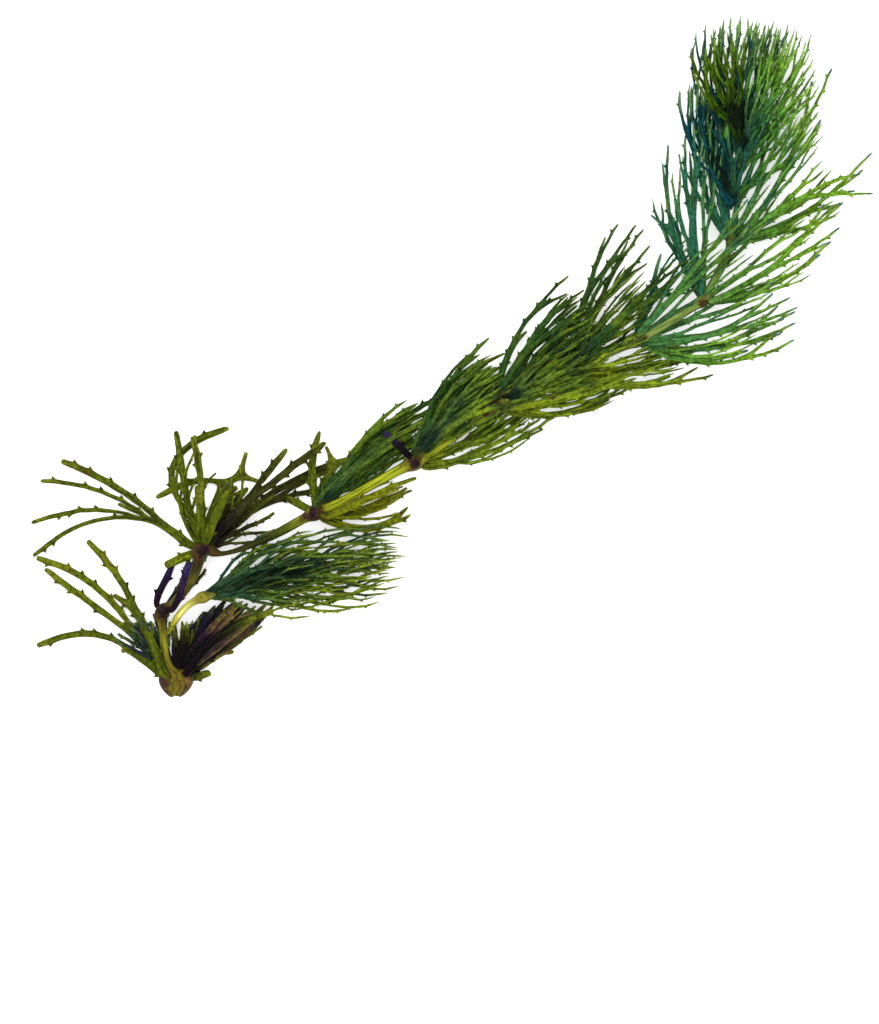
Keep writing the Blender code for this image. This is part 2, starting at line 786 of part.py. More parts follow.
def place_corners(corners, ring):
    """Puts the upper left, upper right, lower right and lower left corners on a ring."""
    for corner, (side, up) in zip(corners, ((1, 1), (-1, 1), (-1, -1), (1, -1))):
        x, y = ring.place + side * ring.half_width * ring.left
        corner.co = (x, y, ring.z + up * ring.half_thickness)


def nearest(verts, place):
    return min(verts, key=lambda vert: (vert.co - Vector(place)).length)


def split_end(bm, corners, ring):
    """Splits the end face of a leaf into a left and a right half."""
    upper_left, upper_right, lower_right, lower_left = corners
    above = bmesh.utils.edge_split(bm.edges.get((upper_left, upper_right)), upper_left, 0.5)[1]
    below = bmesh.utils.edge_split(bm.edges.get((lower_left, lower_right)), lower_left, 0.5)[1]
    onward = Vector((ring.left[1], -ring.left[0], 0.0))
    for vert in (above, below):
        vert.co += onward * ring.half_width * CROTCH_SHARE
    end = next(face for face in above.link_faces if face in below.link_faces)
    bmesh.utils.face_split(end, above, below)
    return [upper_left, above, below, lower_left], [above, upper_right, lower_right, below]


def grow(bm, corners, stretch, first):
    """Extrudes an end face through a stretch's rings, then each half of it through a fork."""
    for ring in stretch.rings[first:]:
        end = bm.faces.get(corners)
        grown = bmesh.ops.extrude_discrete_faces(bm, faces=[end])["faces"][0]
        corners = [nearest(grown.verts, corner.co) for corner in corners]
        place_corners(corners, ring)
    if stretch.forks:
        for half, fork in zip(split_end(bm, corners, stretch.rings[-1]), stretch.forks):
            grow(bm, half, fork, 1)


def make_leaf(name, stretch, colour, collection):
    """A leaf starts as a cube between its first two rings, and is extruded from there."""
    bm = bmesh.new()
    verts = bmesh.ops.create_cube(bm, size=2.0)["verts"]
    ends = []
    for y in (-1, 1):
        corners = ((-1, y, 1), (1, y, 1), (1, y, -1), (-1, y, -1))
        ends.append([nearest(verts, corner) for corner in corners])
    back, front = ends
    place_corners(back, stretch.rings[0])
    place_corners(front, stretch.rings[1])
    grow(bm, front, stretch, 2)
    bmesh.ops.triangulate(bm, faces=bm.faces)
    bmesh.ops.recalc_face_normals(bm, faces=bm.faces)
    bmesh.ops.scale(bm, vec=(MM, MM, MM), verts=bm.verts)
    mesh = bpy.data.meshes.new(name)
    bm.to_mesh(mesh)
    bm.free()
    mesh.materials.append(plant_material(name, colour, LEAF_ROUGHNESS))
    collection.objects.link(bpy.data.objects.new(name, mesh))


def joint_bearing(route, name):
    """The way the stem runs through a joint."""
    i = route.index(name)
    return bearing_of(place_of(route[i + 1]) - place_of(route[i - 1]))


def leaf_colour(youth):
    """From an old leaf's olive to a young leaf's green."""
    return tuple(old + (young - old) * youth for young, old in zip(YOUNG_GREEN, OLD_OLIVE))


def make_plant():
    clear_scene()
    collection = bpy.data.collections.new("hornwort_sprig")
    bpy.context.scene.collection.children.link(collection)
    main_route = smooth_route(stem_stops(MAIN_STEM_ROUTE))
    side_route = smooth_route(stem_stops(SIDE_STEM_ROUTE))
    leaves = []
    for rank, (joint_name, rows) in enumerate(LEAVES.items()):
        leaves += [Leaf(joint_name, leaf_name, rank, lift, tree) for leaf_name, lift, tree in rows]
    brushes = []
    for name, form in BRUSHES.items():
        route = SIDE_STEM_ROUTE if form.joint == "side_whorl" else MAIN_STEM_ROUTE
        brushes.append(Brush(name, form, route))
    lay_down(leaves, brushes, (main_route, side_route))
    make_stem("main_stem", main_route, STEM_OLIVE, collection)
    make_stem("side_stem", side_route, STEM_YELLOW, collection)
    for leaf in leaves:
        youth = leaf.rank / (len(LEAVES) - 1)
        make_leaf(leaf.name, leaf.stretch, leaf_colour(youth), collection)
    for brush in brushes:
        make_leaf(brush.name, brush.stretch, YOUNG_GREEN, collection)


make_plant()
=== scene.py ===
"""The looks of a cut sprig of hornwort, an aquarium plant, laid out wet on a light table.

Metres, +Z up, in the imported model's own frame. A leaf that has a solid is a rounded copy of it,
with thorns set along its margins. The leaves that are too many and too small to be solids are
copies of a few pattern leaves, each laid along its own way from a joint of the stem.
"""

import math
import random
from dataclasses import dataclass, replace

import bpy
import numpy as np
from mathutils import Matrix, Vector


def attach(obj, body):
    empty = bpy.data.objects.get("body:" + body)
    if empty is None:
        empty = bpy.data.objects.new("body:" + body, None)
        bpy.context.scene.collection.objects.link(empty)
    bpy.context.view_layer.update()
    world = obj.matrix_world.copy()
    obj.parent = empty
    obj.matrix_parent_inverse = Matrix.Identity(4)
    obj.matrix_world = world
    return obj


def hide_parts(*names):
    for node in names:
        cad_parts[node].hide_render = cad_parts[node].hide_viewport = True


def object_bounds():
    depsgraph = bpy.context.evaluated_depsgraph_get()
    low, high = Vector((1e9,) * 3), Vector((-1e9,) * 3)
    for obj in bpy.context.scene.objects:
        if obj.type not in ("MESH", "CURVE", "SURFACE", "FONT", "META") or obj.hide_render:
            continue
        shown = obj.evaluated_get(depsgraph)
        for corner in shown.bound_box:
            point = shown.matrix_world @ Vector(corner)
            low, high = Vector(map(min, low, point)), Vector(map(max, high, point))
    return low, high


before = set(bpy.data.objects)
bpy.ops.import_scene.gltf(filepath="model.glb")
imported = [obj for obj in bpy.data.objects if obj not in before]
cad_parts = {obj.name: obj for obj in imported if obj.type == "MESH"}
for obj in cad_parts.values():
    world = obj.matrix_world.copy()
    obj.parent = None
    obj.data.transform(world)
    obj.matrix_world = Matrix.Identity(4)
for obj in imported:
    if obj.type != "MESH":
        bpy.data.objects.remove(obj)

MODEL_BOX = [list(corner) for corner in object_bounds()]

MM = 0.001

# The camera looks straight down on the middle of the picture. The picture is 879 by 1024 points,
# and a point is 0.12 mm on the table.
PICTURE_MIDDLE = (-1.56, -18.72)
PICTURE_HEIGHT = 122.88
CAMERA_HEIGHT = 600.0
SENSOR = 36.0
CLIP_START = 0.05

# The light table's size in metres and its haze's in millimetres, and its own faint light
FLOOR_SIZE = 3.0
HAZE_SIZE = 60.0
TABLE_GLOW = 0.42

# The light of the room, and the lamp's size and place in metres and its power in watts
ROOM_LIGHT = 1.3
LAMP_SIZE = 0.8
LAMP_PLACE = (-0.25, 0.25, 0.7)
LAMP_POWER = 2.2

# The start of the random choices
SEED = 7

# The joints of the stems, and of the brushes' own stems, from the oldest to the youngest: the
# place and the height of the middle, in millimetres
JOINTS = {
    "whorl1": (-32.9, -38.9, 1.7),
    "whorl2": (-34.7, -30.8, 2.0),
    "whorl3": (-29.9, -23.2, 2.3),
    "whorl4": (-16.4, -18.8, 2.6),
    "whorl5": (-4.5, -12.7, 2.9),
    "whorl6": (5.3, -6.1, 3.1),
    "whorl7": (13.7, -2.2, 3.2),
    "whorl8": (22.0, 1.7, 3.2),
    "whorl9": (29.9, 6.6, 3.2),
    "whorl10": (33.3, 13.4, 3.2),
    "tip1": (33.6, 18.1, 3.0),
    "tip2": (34.2, 22.1, 2.9),
    "tip3": (34.3, 25.4, 2.8),
    "tip4": (34.2, 28.2, 2.7),
    "side1": (-29.8, -28.9, 2.9),
    "side2": (-26.2, -27.9, 2.7),
    "side3": (-22.8, -27.0, 2.5),
    "side4": (-19.5, -26.2, 2.3),
}

# Thorns, in millimetres. They stand on the outer margins of a leaf, a few millimetres apart, and
# the margin swells under each.
THORN_HEIGHT = 0.36
THORN_ROOT = 0.30
THORN_SINK = 0.05
THORN_SWELLING = 0.13
SWELLING_REACH = 0.9
THORN_SPACING = 2.2
RING_PITCH = 0.65
THORNLESS_TIP = 1.2

# A thorn's middle is narrowed to shares of its root, and leans by a share of its root's radius, as
# the step to its point does. Then the point's and the whole thorn's shares.
THORN_WAIST = (0.5, 0.6, 1.0)
WAIST_LEAN = 0.6
POINT_STEP = 0.7
POINT_SHARE = 0.25
THORN_FLATNESS = 0.55

# A thorn grows where the surface looks outward by more than the first of these parts of its
# normal, and up or down and lengthwise by less than the others
LEAST_OUTWARD = 0.2
MOST_UPRIGHT = 0.35
MOST_LENGTHWISE = 0.5

# Parts of normals that are the same to this many digits are taken as the same
NORMAL_DIGITS = 5

# A leaf bears the way that its outer part does, past this share of its length. Its tips lie past
# the second share.
OUTER_PART = 0.75
TIPS_BEYOND = 0.25

# A face looks one way if its normal has this part in that way. Faces and points are the same if
# they lie within these distances, in millimetres.
LOOKS_THAT_WAY = 0.9
SAME_PLACE = 0.01
SAME_POINT = 0.001

# A branch's end face lies within these distances of where it is looked for, in millimetres, and
# looks ahead by more than the last part
END_ALONG = 0.3
END_ACROSS = 0.1
END_AHEAD = 0.5

# The corners of a leaf's base or tip lie within these distances of each other, in millimetres
BASE_SLOPE = 0.56
TIP_SLOPE = 0.28

# How far a leaf's base runs into the swelling of its joint, and how far the side stem's runs into
# the main stem, in millimetres
ROOT_DEPTH = 1.0
FORK_DEPTH = 1.5

# Where the side stem forks off the main stem, and how much wider than its solid it is at its base
# and its end, in millimetres
FORK = (-34.6, -33.7, 2.0)
SIDE_STEM_WIDENING = (0.12, 0.08)

# How far the end face of a blunt tip is inset, in millimetres
TIP_INSET = 0.06

# How far the margins of a leaf's copy are moved out at its base and its tips, in millimetres
OLD_WIDENING = (0.10, 0.19)
YOUNG_WIDENING = (0.12, 0.07)

# How far a leaf is raised above its solid, where other leaves would hide it, in millimetres, and how
# soon it gets there
LIFTS = {"whorl5_stub": 2.0}
LIFT_POWER = 4

# The size of the thorns of young and of brush leaves against those of old ones
YOUNG_THORN = 0.85
PATTERN_THORN = 0.62

# Pattern leaves, in millimetres. They lie along +X from their base at the origin.
PATTERN_LENGTH = 16.0
PATTERN_THICKNESS = 0.28
PATTERN_SPAN = 1.25
HAIR_LENGTH = 1.3
HAIR_SHARE = 0.22
THINNING = 0.96
WITHERED_WIDTHS = (0.7, 1.3, 1.7, 1.5, 2.0, 1.8, 2.1, 1.6, 1.8, 1.3, 0.9, 0.5)
WITHERED_THICKNESS = 0.16
WITHERED_CRUMPLE = 0.22
WITHERED_COUNT = 3

# How much the leaves of a fan differ by chance: in bearing, in degrees, in reach and in bow. Then
# how many steps the way of a leaf has.
BEARING_SCATTER = 2.5
REACH_SCATTER = (0.93, 1.02)
BOW_SCATTER = 0.03
WAY_STEPS = 24

# Up to whorl 4 leaves have blunt tips, up to whorl 3 wide ones, and from whorl 7 on they are young
LAST_BLUNT = 4
LAST_WIDE = 3
FIRST_YOUNG = 7

# Layers of leaves are counted in square cells, in millimetres, and each cell is evened out with
# its neighbours this many times
LAYER_CELL = 0.4
LAYER_BLURS = 2
LAYER_MARGIN = 4.0

# Colours that the leaves and the stems share. The first is painted shade on their sides, where
# the surface turns from facing up.
SIDE_SHADE_GREEN = "#26300A"
THORN_BROWN = "#4A2A14"
HAIR_BLUE = "#5A8486"
DIRT_BROWN = "#4A2C1C"

# The turn from the stem's direction that makes a leaf quite blue, in radians, the tint of a leaf
# straight ahead, and how much tints differ by chance
LEFT_TURN = math.radians(80.0)
MIDDLE_TINT = 0.5
TINT_SCATTER = 0.3

# How far from the middle of a joint the stem is stained brown, in millimetres, and how strong that
# stain is, as pairs of a share of the stem's length and a strength from 0 to 1
JOINT_STAIN = 2.4
STAIN_STRENGTHS = ((0.0, 0.3), (0.05, 0.3), (0.08, 1.0), (0.45, 0.85), (0.8, 0.6), (1.0, 0.3))
CUT_END_STAIN = 0.4

# The cut end, in millimetres: its middle, its size before it is rounded, how far its upper end is
# moved up and narrowed, how far its two lobes reach, lean in, drop and narrow, and how uneven it is
CUT_END = (-33.1, -38.6, 1.5)
CUT_END_SIZE = (5.2, 0.9, 2.2)
CUT_END_SHOULDER = 0.9
SHOULDER_SHARE = 0.6
LOBE_REACH = 2.0
LOBE_LEAN = 0.85
LOBE_DROP = 0.15
LOBE_SHARE = 0.26
CUT_END_WEAR = 0.22
WEAR_SEED = 3

# How near a lobe's first face is to where it is looked for, in millimetres
LOBE_NEAR = 0.1


@dataclass
class LeafForm:
    """A pattern leaf: where it forks first, then the x of each side's end for each stage after
    that, the widths of each stage at its start and its end, and how far apart a fork's ends are.
    A pointed leaf ends in fine hairs, and another in blunt ends."""

    fork: float
    ends: tuple
    widths: tuple
    spreads: tuple
    pointed: bool = True


WIDE = ((0.86, 0.70), (0.56, 0.46), (0.38, 0.30))
SLIM = ((0.64, 0.56), (0.47, 0.40), (0.36, 0.28))
WORN = ((0.80, 0.68), (0.54, 0.42))
PATTERNS = {
    "grown": [
        LeafForm(5.0, ((10.0, 9.0), (14.4, 13.8)), WIDE, (1.6, 0.9)),
        LeafForm(7.0, ((11.5, 12.0), (14.0, 14.6)), WIDE, (1.4, 0.8)),
    ],
    "slim": [
        LeafForm(4.6, ((9.2, 10.4), (13.6, 14.6)), SLIM, (2.1, 1.1)),
        LeafForm(6.4, ((10.6, 11.8), (14.6, 13.4)), SLIM, (1.8, 1.0)),
    ],
    "netted": [
        LeafForm(4.0, ((8.4, 9.6), (13.2, 14.4)), SLIM, (2.8, 1.7)),
        LeafForm(5.6, ((9.8, 11.0), (14.2, 13.0)), SLIM, (2.4, 1.5)),
    ],
    "worn": [
        LeafForm(6.0, ((15.0, 13.2),), WORN, (1.7,), pointed=False),
        LeafForm(8.0, ((13.8, 15.2),), WORN, (1.5,), pointed=False),
    ],
}


@dataclass
class Fan:
    """Leaves that grow from one joint, side by side: the joint, how many, then the bearing in
    degrees, the reach and the bow of the leftmost and of the rightmost one, the heights that their
    tips lie between, how wide they are against the pattern, how high their ways arch, and how far
    along the stem their bases are spread, as the joints of a brush are too close to tell apart."""

    joint: str
    count: int
    left: tuple
    right: tuple
    tips: tuple
    breadth: tuple = (0.85, 1.15)
    arch: tuple = (-0.2, 0.8)
    spread: float = 0.0


@dataclass
class Bunch:
    """A piece made of fans of leaves: its skin, its pattern leaves, its fans and the solids that it
    stands for."""

    skin: str
    pattern: str
    fans: list
    stands_for: tuple = ()


BROAD = (1.1, 1.5)
LOW = (-0.5, 0.1)
HIGH = (0.8, 1.2)
TIP_BRUSH = ("tip_brush_lower", "tip_brush_upper")
BUNCHES = {
    "whorl1_tangled_leaves": Bunch("tangled_in_shade", "worn", [
        Fan("whorl1", 11, (102, 8.2, 0.12), (143, 10.5, -0.12), (0.3, 2.4), (0.7, 1.2)),
    ]),
    "whorl1_withered_leaves": Bunch("decayed", "withered", [
        Fan("whorl1", 7, (54, 12.5, 0.06), (36, 15.8, -0.04), (0.3, 2.6), (0.35, 0.75), LOW),
        Fan("whorl1", 5, (56, 10.5, 0.14), (38, 13.6, 0.02), (1.2, 3.0), (0.3, 0.6)),
        Fan("whorl1", 3, (90, 7.4, 0.05), (76, 8.4, 0.05), (0.8, 2.0), (0.2, 0.4)),
    ]),
    "whorl1_sodden_leaves": Bunch("sodden", "withered", [
        Fan("whorl1", 5, (70, 9.8, 0.10), (58, 11.4, 0.04), (0.4, 2.6), (0.4, 0.8), LOW),
        Fan("whorl1", 4, (56, 12.4, 0.08), (46, 13.8, 0.0), (0.3, 1.2), (0.5, 0.9), LOW),
    ]),
    "whorl1_dying_leaves": Bunch("dying", "worn", [
        Fan("whorl1", 4, (60, 10.2, 0.05), (34, 14.8, 0.0), (0.5, 2.8), (0.7, 1.1)),
        Fan("whorl1", 7, (101, 6.6, 0.05), (78, 8.5, -0.10), (0.4, 2.4), (0.5, 0.9)),
    ]),
    "whorl2_dying_leaves": Bunch("dying", "worn", [
        Fan("whorl2", 2, (60, 9.0, -0.04), (52, 8.6, -0.10), (0.6, 2.0), (0.9, 1.2), LOW),
    ]),
    "whorl3_dying_leaves": Bunch("dying", "worn", [
        Fan("whorl3", 3, (62, 9.0, 0.10), (34, 12.0, -0.04), (0.5, 3.0), (0.8, 1.3)),
        Fan("whorl3", 2, (20, 9.3, 0.10), (13, 7.0, 0.0), (0.5, 2.0), (0.8, 1.1), LOW),
    ]),
    "whorl3_more_curled_leaves": Bunch("old", "worn", [
        Fan("whorl3", 2, (97, 12.4, 0.34), (70, 11.4, -0.38), (2.6, 4.4), (0.7, 0.9)),
        Fan("whorl3", 2, (78, 10.5, 0.42), (58, 10.2, 0.30), (1.6, 3.6), (0.7, 0.9)),
    ]),
    "whorl4_more_leaves": Bunch("bundled", "grown", [
        Fan("whorl4", 9, (45, 19.0, 0.15), (38, 16.0, 0.08), (0.4, 1.8), BROAD, LOW),
        Fan("whorl4", 2, (43, 14.0, 0.08), (39, 13.0, 0.05), (2.0, 2.8), BROAD, LOW),
    ]),
    "whorl4_short_leaves": Bunch("old", "worn", [
        Fan("whorl4", 3, (21, 12.0, 0.03), (6, 10.5, -0.20), (0.3, 1.5), (0.6, 0.8), LOW),
    ]),
    "whorl5_more_leaves": Bunch("grown", "grown", [
        Fan("whorl5", 11, (53, 16.0, 0.23), (38, 15.0, 0.08), (0.6, 4.8), BROAD),
        Fan("whorl5", 3, (47, 14.0, 0.10), (41, 13.0, 0.06), (4.2, 4.9), BROAD, HIGH),
        Fan("whorl5", 3, (27, 15.2, -0.08), (20, 14.8, -0.20), (0.3, 2.4), (0.9, 1.2)),
    ]),
    "whorl6_more_leaves": Bunch("grown", "grown", [
        Fan("whorl6", 10, (50, 16.6, 0.16), (26, 15.4, 0.0), (0.6, 4.8), BROAD),
        Fan("whorl6", 4, (33, 13.5, 0.05), (19, 12.5, -0.04), (4.3, 5.0), BROAD, HIGH),
        Fan("whorl6", 3, (18, 17.0, -0.04), (10, 15.5, -0.20), (0.3, 2.6), (0.9, 1.2)),
    ]),
    "whorl7_more_leaves": Bunch("grown", "grown", [
        Fan("whorl7", 7, (60, 16.4, 0.10), (36, 12.5, 0.04), (0.6, 4.8)),
        Fan("whorl7", 2, (33, 10.0, 0.05), (20, 11.0, -0.04), (4.0, 4.8), (1.0, 1.3), HIGH),
        Fan("whorl7", 3, (16, 16.0, -0.03), (4, 14.5, -0.16), (0.3, 2.8), (0.8, 1.1)),
    ]),
    "whorl8_more_leaves": Bunch("young", "grown", [
        Fan("whorl8", 3, (60, 14.0, 0.17), (36, 18.5, 0.04), (0.6, 4.8)),
        Fan("whorl8", 3, (24, 18.5, -0.02), (4, 15.0, -0.24), (0.3, 4.4)),
    ]),
    "whorl9_more_leaves": Bunch("young", "grown", [
        Fan("whorl9", 3, (110, 14.0, 0.10), (86, 19.0, 0.04), (0.4, 4.0)),
        Fan("whorl9", 3, (54, 17.0, 0.05), (18, 14.0, -0.12), (0.3, 4.6)),
    ]),
    "whorl10_more_leaves": Bunch("young", "grown", [
        Fan("whorl10", 4, (112, 12.5, 0.15), (92, 14.0, 0.10), (0.3, 1.4), arch=LOW),
        Fan("whorl10", 5, (76, 19.0, 0.06), (24, 14.0, -0.12), (0.3, 4.4)),
    ]),
    "tip_brush_first_leaves": Bunch("brush", "slim", [
        Fan("tip1", 6, (106, 14.5, 0.20), (92, 15.0, 0.10), (0.3, 2.0), BROAD, LOW, 2.0),
        Fan("tip1", 10, (107, 15.8, 0.26), (42, 15.2, -0.10), (0.4, 3.6), spread=2.4),
    ], TIP_BRUSH),
    "tip_brush_second_leaves": Bunch("brush", "slim", [
        Fan("tip2", 7, (104, 17.2, 0.24), (65, 18.8, -0.10), (0.5, 4.2), spread=2.4),
        Fan("tip2", 3, (58, 16.0, -0.04), (46, 13.4, -0.10), (0.5, 4.0), spread=2.0),
    ], TIP_BRUSH),
    "tip_brush_third_leaves": Bunch("brush", "slim", [
        Fan("tip3", 6, (102, 14.8, 0.18), (61, 15.8, -0.12), (0.8, 4.2), spread=2.4),
        Fan("tip3", 3, (57, 13.5, -0.05), (44, 10.8, -0.10), (0.8, 4.0), spread=2.0),
    ], TIP_BRUSH),
    "tip_brush_bud_leaves": Bunch("brush", "slim", [
        Fan("tip4", 5, (96, 12.4, 0.08), (57, 13.2, -0.12), (1.4, 4.0), spread=2.0),
    ], TIP_BRUSH),
    "tip_brush_olive_leaves": Bunch("olive", "slim", [
        Fan("tip3", 4, (113, 11.5, 0.10), (100, 13.2, 0.04), (4.2, 4.8), BROAD, HIGH),
    ], TIP_BRUSH),
    "side_brush_first_leaves": Bunch("side", "netted", [
        Fan("side1", 5, (33, 10.6, 0.06), (20, 17.0, 0.20), (0.3, 2.4), spread=1.0),
        Fan("side1", 8, (20, 16.5, 0.18), (3, 13.2, -0.08), (0.3, 3.4), spread=1.0),
    ], ("side_brush",)),
    "side_brush_second_leaves": Bunch("side", "netted", [
        Fan("side2", 8, (16, 18.8, 0.24), (0, 14.6, -0.16), (0.3, 3.8), spread=3.0),
    ], ("side_brush",)),
    "side_brush_third_leaves": Bunch("side", "netted", [
        Fan("side3", 7, (14, 17.8, 0.22), (2, 15.0, -0.18), (0.3, 3.6), spread=3.0),
        Fan("side4", 4, (10, 15.4, 0.18), (2, 13.4, -0.14), (0.3, 3.0), spread=3.0),
    ], ("side_brush",)),
}


def deselect_all():
    if bpy.context.mode != "OBJECT":
        bpy.ops.object.mode_set(mode="OBJECT")
    bpy.ops.object.select_all(action="DESELECT")


def make_active(piece):
    deselect_all()
    piece.select_set(True)
    bpy.context.view_layer.objects.active = piece


def apply_modifier(piece, kind, **settings):
    """Adds a modifier to the active piece with its settings, and applies it."""
    bpy.ops.object.modifier_add(type=kind)
    modifier = piece.modifiers[-1]
    for name, value in settings.items():
        setattr(modifier, name, value)
    bpy.ops.object.modifier_apply(modifier=modifier.name)


def places_of(piece):
    """The places of a piece's points, one row each, in millimetres."""
    places = np.empty(len(piece.data.vertices) * 3)
    piece.data.vertices.foreach_get("co", places)
    return places.reshape(-1, 3) / MM


def put_points(piece, places):
    piece.data.vertices.foreach_set("co", (places * MM).ravel())
    piece.data.update()


def normals_of(piece):
    normals = np.empty(len(piece.data.vertices) * 3)
    piece.data.vertices.foreach_get("normal", normals)
    return normals.reshape(-1, 3)


def edges_of(piece):
    edges = np.empty(len(piece.data.edges) * 2, dtype=int)
    piece.data.edges.foreach_get("vertices", edges)
    return edges.reshape(-1, 2)


def store(piece, name, values):
    """Keeps a number for each point, which the leaf's material reads."""
    attribute = piece.data.attributes.get(name) or piece.data.attributes.new(name, "FLOAT", "POINT")
    attribute.data.foreach_set("value", np.asarray(values, dtype=np.float32))


def stored(piece, name):
    values = np.empty(len(piece.data.vertices), dtype=np.float32)
    piece.data.attributes[name].data.foreach_get("value", values)
    return values


def spread_along(piece, starts):
    """How far each point is from the nearest start, measured along the mesh's edges. The starts
    hold their own distances, and every other point holds infinity."""
    places, edges = places_of(piece), edges_of(piece)
    lengths = np.linalg.norm(places[edges[:, 0]] - places[edges[:, 1]], axis=1)
    distance = starts.copy()
    for _ in range(len(places)):
        before = distance.copy()
        np.minimum.at(distance, edges[:, 1], before[edges[:, 0]] + lengths)
        np.minimum.at(distance, edges[:, 0], before[edges[:, 1]] + lengths)
        if np.array_equal(before, distance):
            break
    return distance


def measure_leaf(piece, base):
    """Keeps how far each point of a leaf is from its base, along the leaf, and from a tip."""
    apart = np.linalg.norm(places_of(piece) - np.array(base), axis=1)
    along = spread_along(piece, np.where(apart < apart.min() + BASE_SLOPE, apart, np.inf))
    edges = edges_of(piece)
    furthest = along.copy()
    np.maximum.at(furthest, edges[:, 0], along[edges[:, 1]])
    np.maximum.at(furthest, edges[:, 1], along[edges[:, 0]])
    at_tip = (furthest - along < TIP_SLOPE) & (along > TIPS_BEYOND * along.max())
    store(piece, "along", along)
    store(piece, "share", along / along.max())
    store(piece, "to_tip", spread_along(piece, np.where(at_tip, 0.0, np.inf)))


def forward_of(piece, distance):
    """The way towards the tip at each point: from the neighbour nearer the base to the one beyond."""
    places, edges = places_of(piece), edges_of(piece)
    way = places[edges[:, 1]] - places[edges[:, 0]]
    way *= np.sign(distance[edges[:, 1]] - distance[edges[:, 0]])[:, None]
    forward = np.zeros_like(places)
    np.add.at(forward, edges[:, 0], way)
    np.add.at(forward, edges[:, 1], way)
    return forward / np.maximum(np.linalg.norm(forward, axis=1), 1e-9)[:, None]


def make_thorn():
    """A thorn stands up along +Z from its root at the origin, and bends towards +X."""
    deselect_all()
    half = THORN_HEIGHT / 2 * MM
    bpy.ops.mesh.primitive_cylinder_add(
        vertices=5, radius=THORN_ROOT * MM, depth=half, location=(0.0, 0.0, half / 2)
    )
    thorn = bpy.context.active_object
    bpy.ops.object.transform_apply()
    select_faces(thorn, lambda middle, normal: normal.z > LOOKS_THAT_WAY)
    lean = THORN_ROOT * MM
    bpy.ops.transform.resize(value=THORN_WAIST, center_override=(WAIST_LEAN * lean, 0.0, half))
    step = (POINT_STEP * lean, 0.0, half)
    bpy.ops.mesh.extrude_region_move(TRANSFORM_OT_translate={"value": step})
    point = (lean, 0.0, 2 * half)
    bpy.ops.transform.resize(value=(POINT_SHARE, POINT_SHARE, 1.0), center_override=point)
    bpy.ops.mesh.select_all(action="SELECT")
    bpy.ops.transform.resize(value=(1.0, THORN_FLATNESS, 1.0), center_override=(0.0, 0.0, 0.0))
    bpy.ops.object.mode_set(mode="OBJECT")
    store(thorn, "tooth", np.clip(places_of(thorn)[:, 2] / THORN_HEIGHT, 0.0, 1.0))
    return thorn


def set_thorns(leaf, base, thorn, size):
    """Sets thorns on the outer margins of a leaf, each leaning towards the tip. Upright places are
    taken first, and of those that are equally upright the one nearest the base."""
    places, normals = places_of(leaf), normals_of(leaf)
    along = stored(leaf, "along")
    forward = forward_of(leaf, along)
    middle = places[along > OUTER_PART * along.max()].mean(axis=0) - np.array(base)
    across = np.array([-middle[1], middle[0], 0.0]) / np.linalg.norm(middle[:2])
    beside = (places - np.array(base)) @ across
    outward = normals @ across * np.sign(beside) > LEAST_OUTWARD
    lengthwise = np.abs((normals * forward).sum(axis=1))
    on_margin = (np.abs(normals[:, 2]) < MOST_UPRIGHT) & (lengthwise < MOST_LENGTHWISE)
    in_step = ((along + beside) % THORN_SPACING < RING_PITCH) & (along > THORN_SPACING)
    wanted = np.flatnonzero(on_margin & outward & in_step & (stored(leaf, "to_tip") > THORNLESS_TIP))
    nearest = (along + beside + places[:, 2])[wanted]
    taken = []
    for i in wanted[np.lexsort((nearest, np.abs(normals[wanted, 2]).round(NORMAL_DIGITS)))]:
        if all(np.linalg.norm(places[i] - places[j]) > THORN_SPACING / 2 for j in taken):
            taken.append(i)
    for i in taken:
        near = np.clip(1.0 - np.linalg.norm(places - places[i], axis=1) / SWELLING_REACH, 0.0, 1.0)
        places += size * THORN_SWELLING * near[:, None] * normals[i]
    put_points(leaf, places)
    pieces = [leaf]
    for i in taken:
        out, ahead = Vector(normals[i]).normalized(), Vector(forward[i])
        ahead = (ahead - ahead.project(out)).normalized()
        turned = Matrix((ahead, out.cross(ahead), out)).transposed().to_4x4()
        root = Matrix.Translation((Vector(places[i]) - out * THORN_SINK) * MM)
        copy = bpy.data.objects.new("thorn", thorn.data.copy())
        copy.data.transform(root @ turned @ Matrix.Scale(size, 4))
        bpy.context.scene.collection.objects.link(copy)
        for name in ("along", "share", "to_tip", "across"):
            store(copy, name, np.full(len(copy.data.vertices), stored(leaf, name)[i]))
        pieces.append(copy)
    return join_leaves(pieces, leaf.name)


def closed_copy(node, name):
    """A copy of a node's solid with its faces joined up and made whole again."""
    piece = bpy.data.objects.new(name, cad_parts[node].data.copy())
    bpy.context.scene.collection.objects.link(piece)
    make_active(piece)
    bpy.ops.object.mode_set(mode="EDIT")
    bpy.ops.mesh.select_all(action="SELECT")
    bpy.ops.mesh.remove_doubles(threshold=SAME_POINT * MM)
    bpy.ops.mesh.tris_convert_to_quads(face_threshold=math.pi, shape_threshold=math.pi)
    bpy.ops.object.mode_set(mode="OBJECT")
    return piece


def root_in(piece, joint, depth):
    """Extrudes the base of a leaf or of the side stem into what it grows from."""
    to_joint = [(face.center / MM - joint).length for face in piece.data.polygons]
    nearest = min(to_joint)
    chosen = to_joint.index(nearest)
    middle = piece.data.polygons[chosen].center.copy()
    select_faces(piece, lambda place, normal: (place * MM - middle).length < SAME_PLACE * MM)
    step = (joint * MM - middle) * (depth / nearest)
    bpy.ops.mesh.extrude_region_move(TRANSFORM_OT_translate={"value": step})
    bpy.ops.object.mode_set(mode="OBJECT")


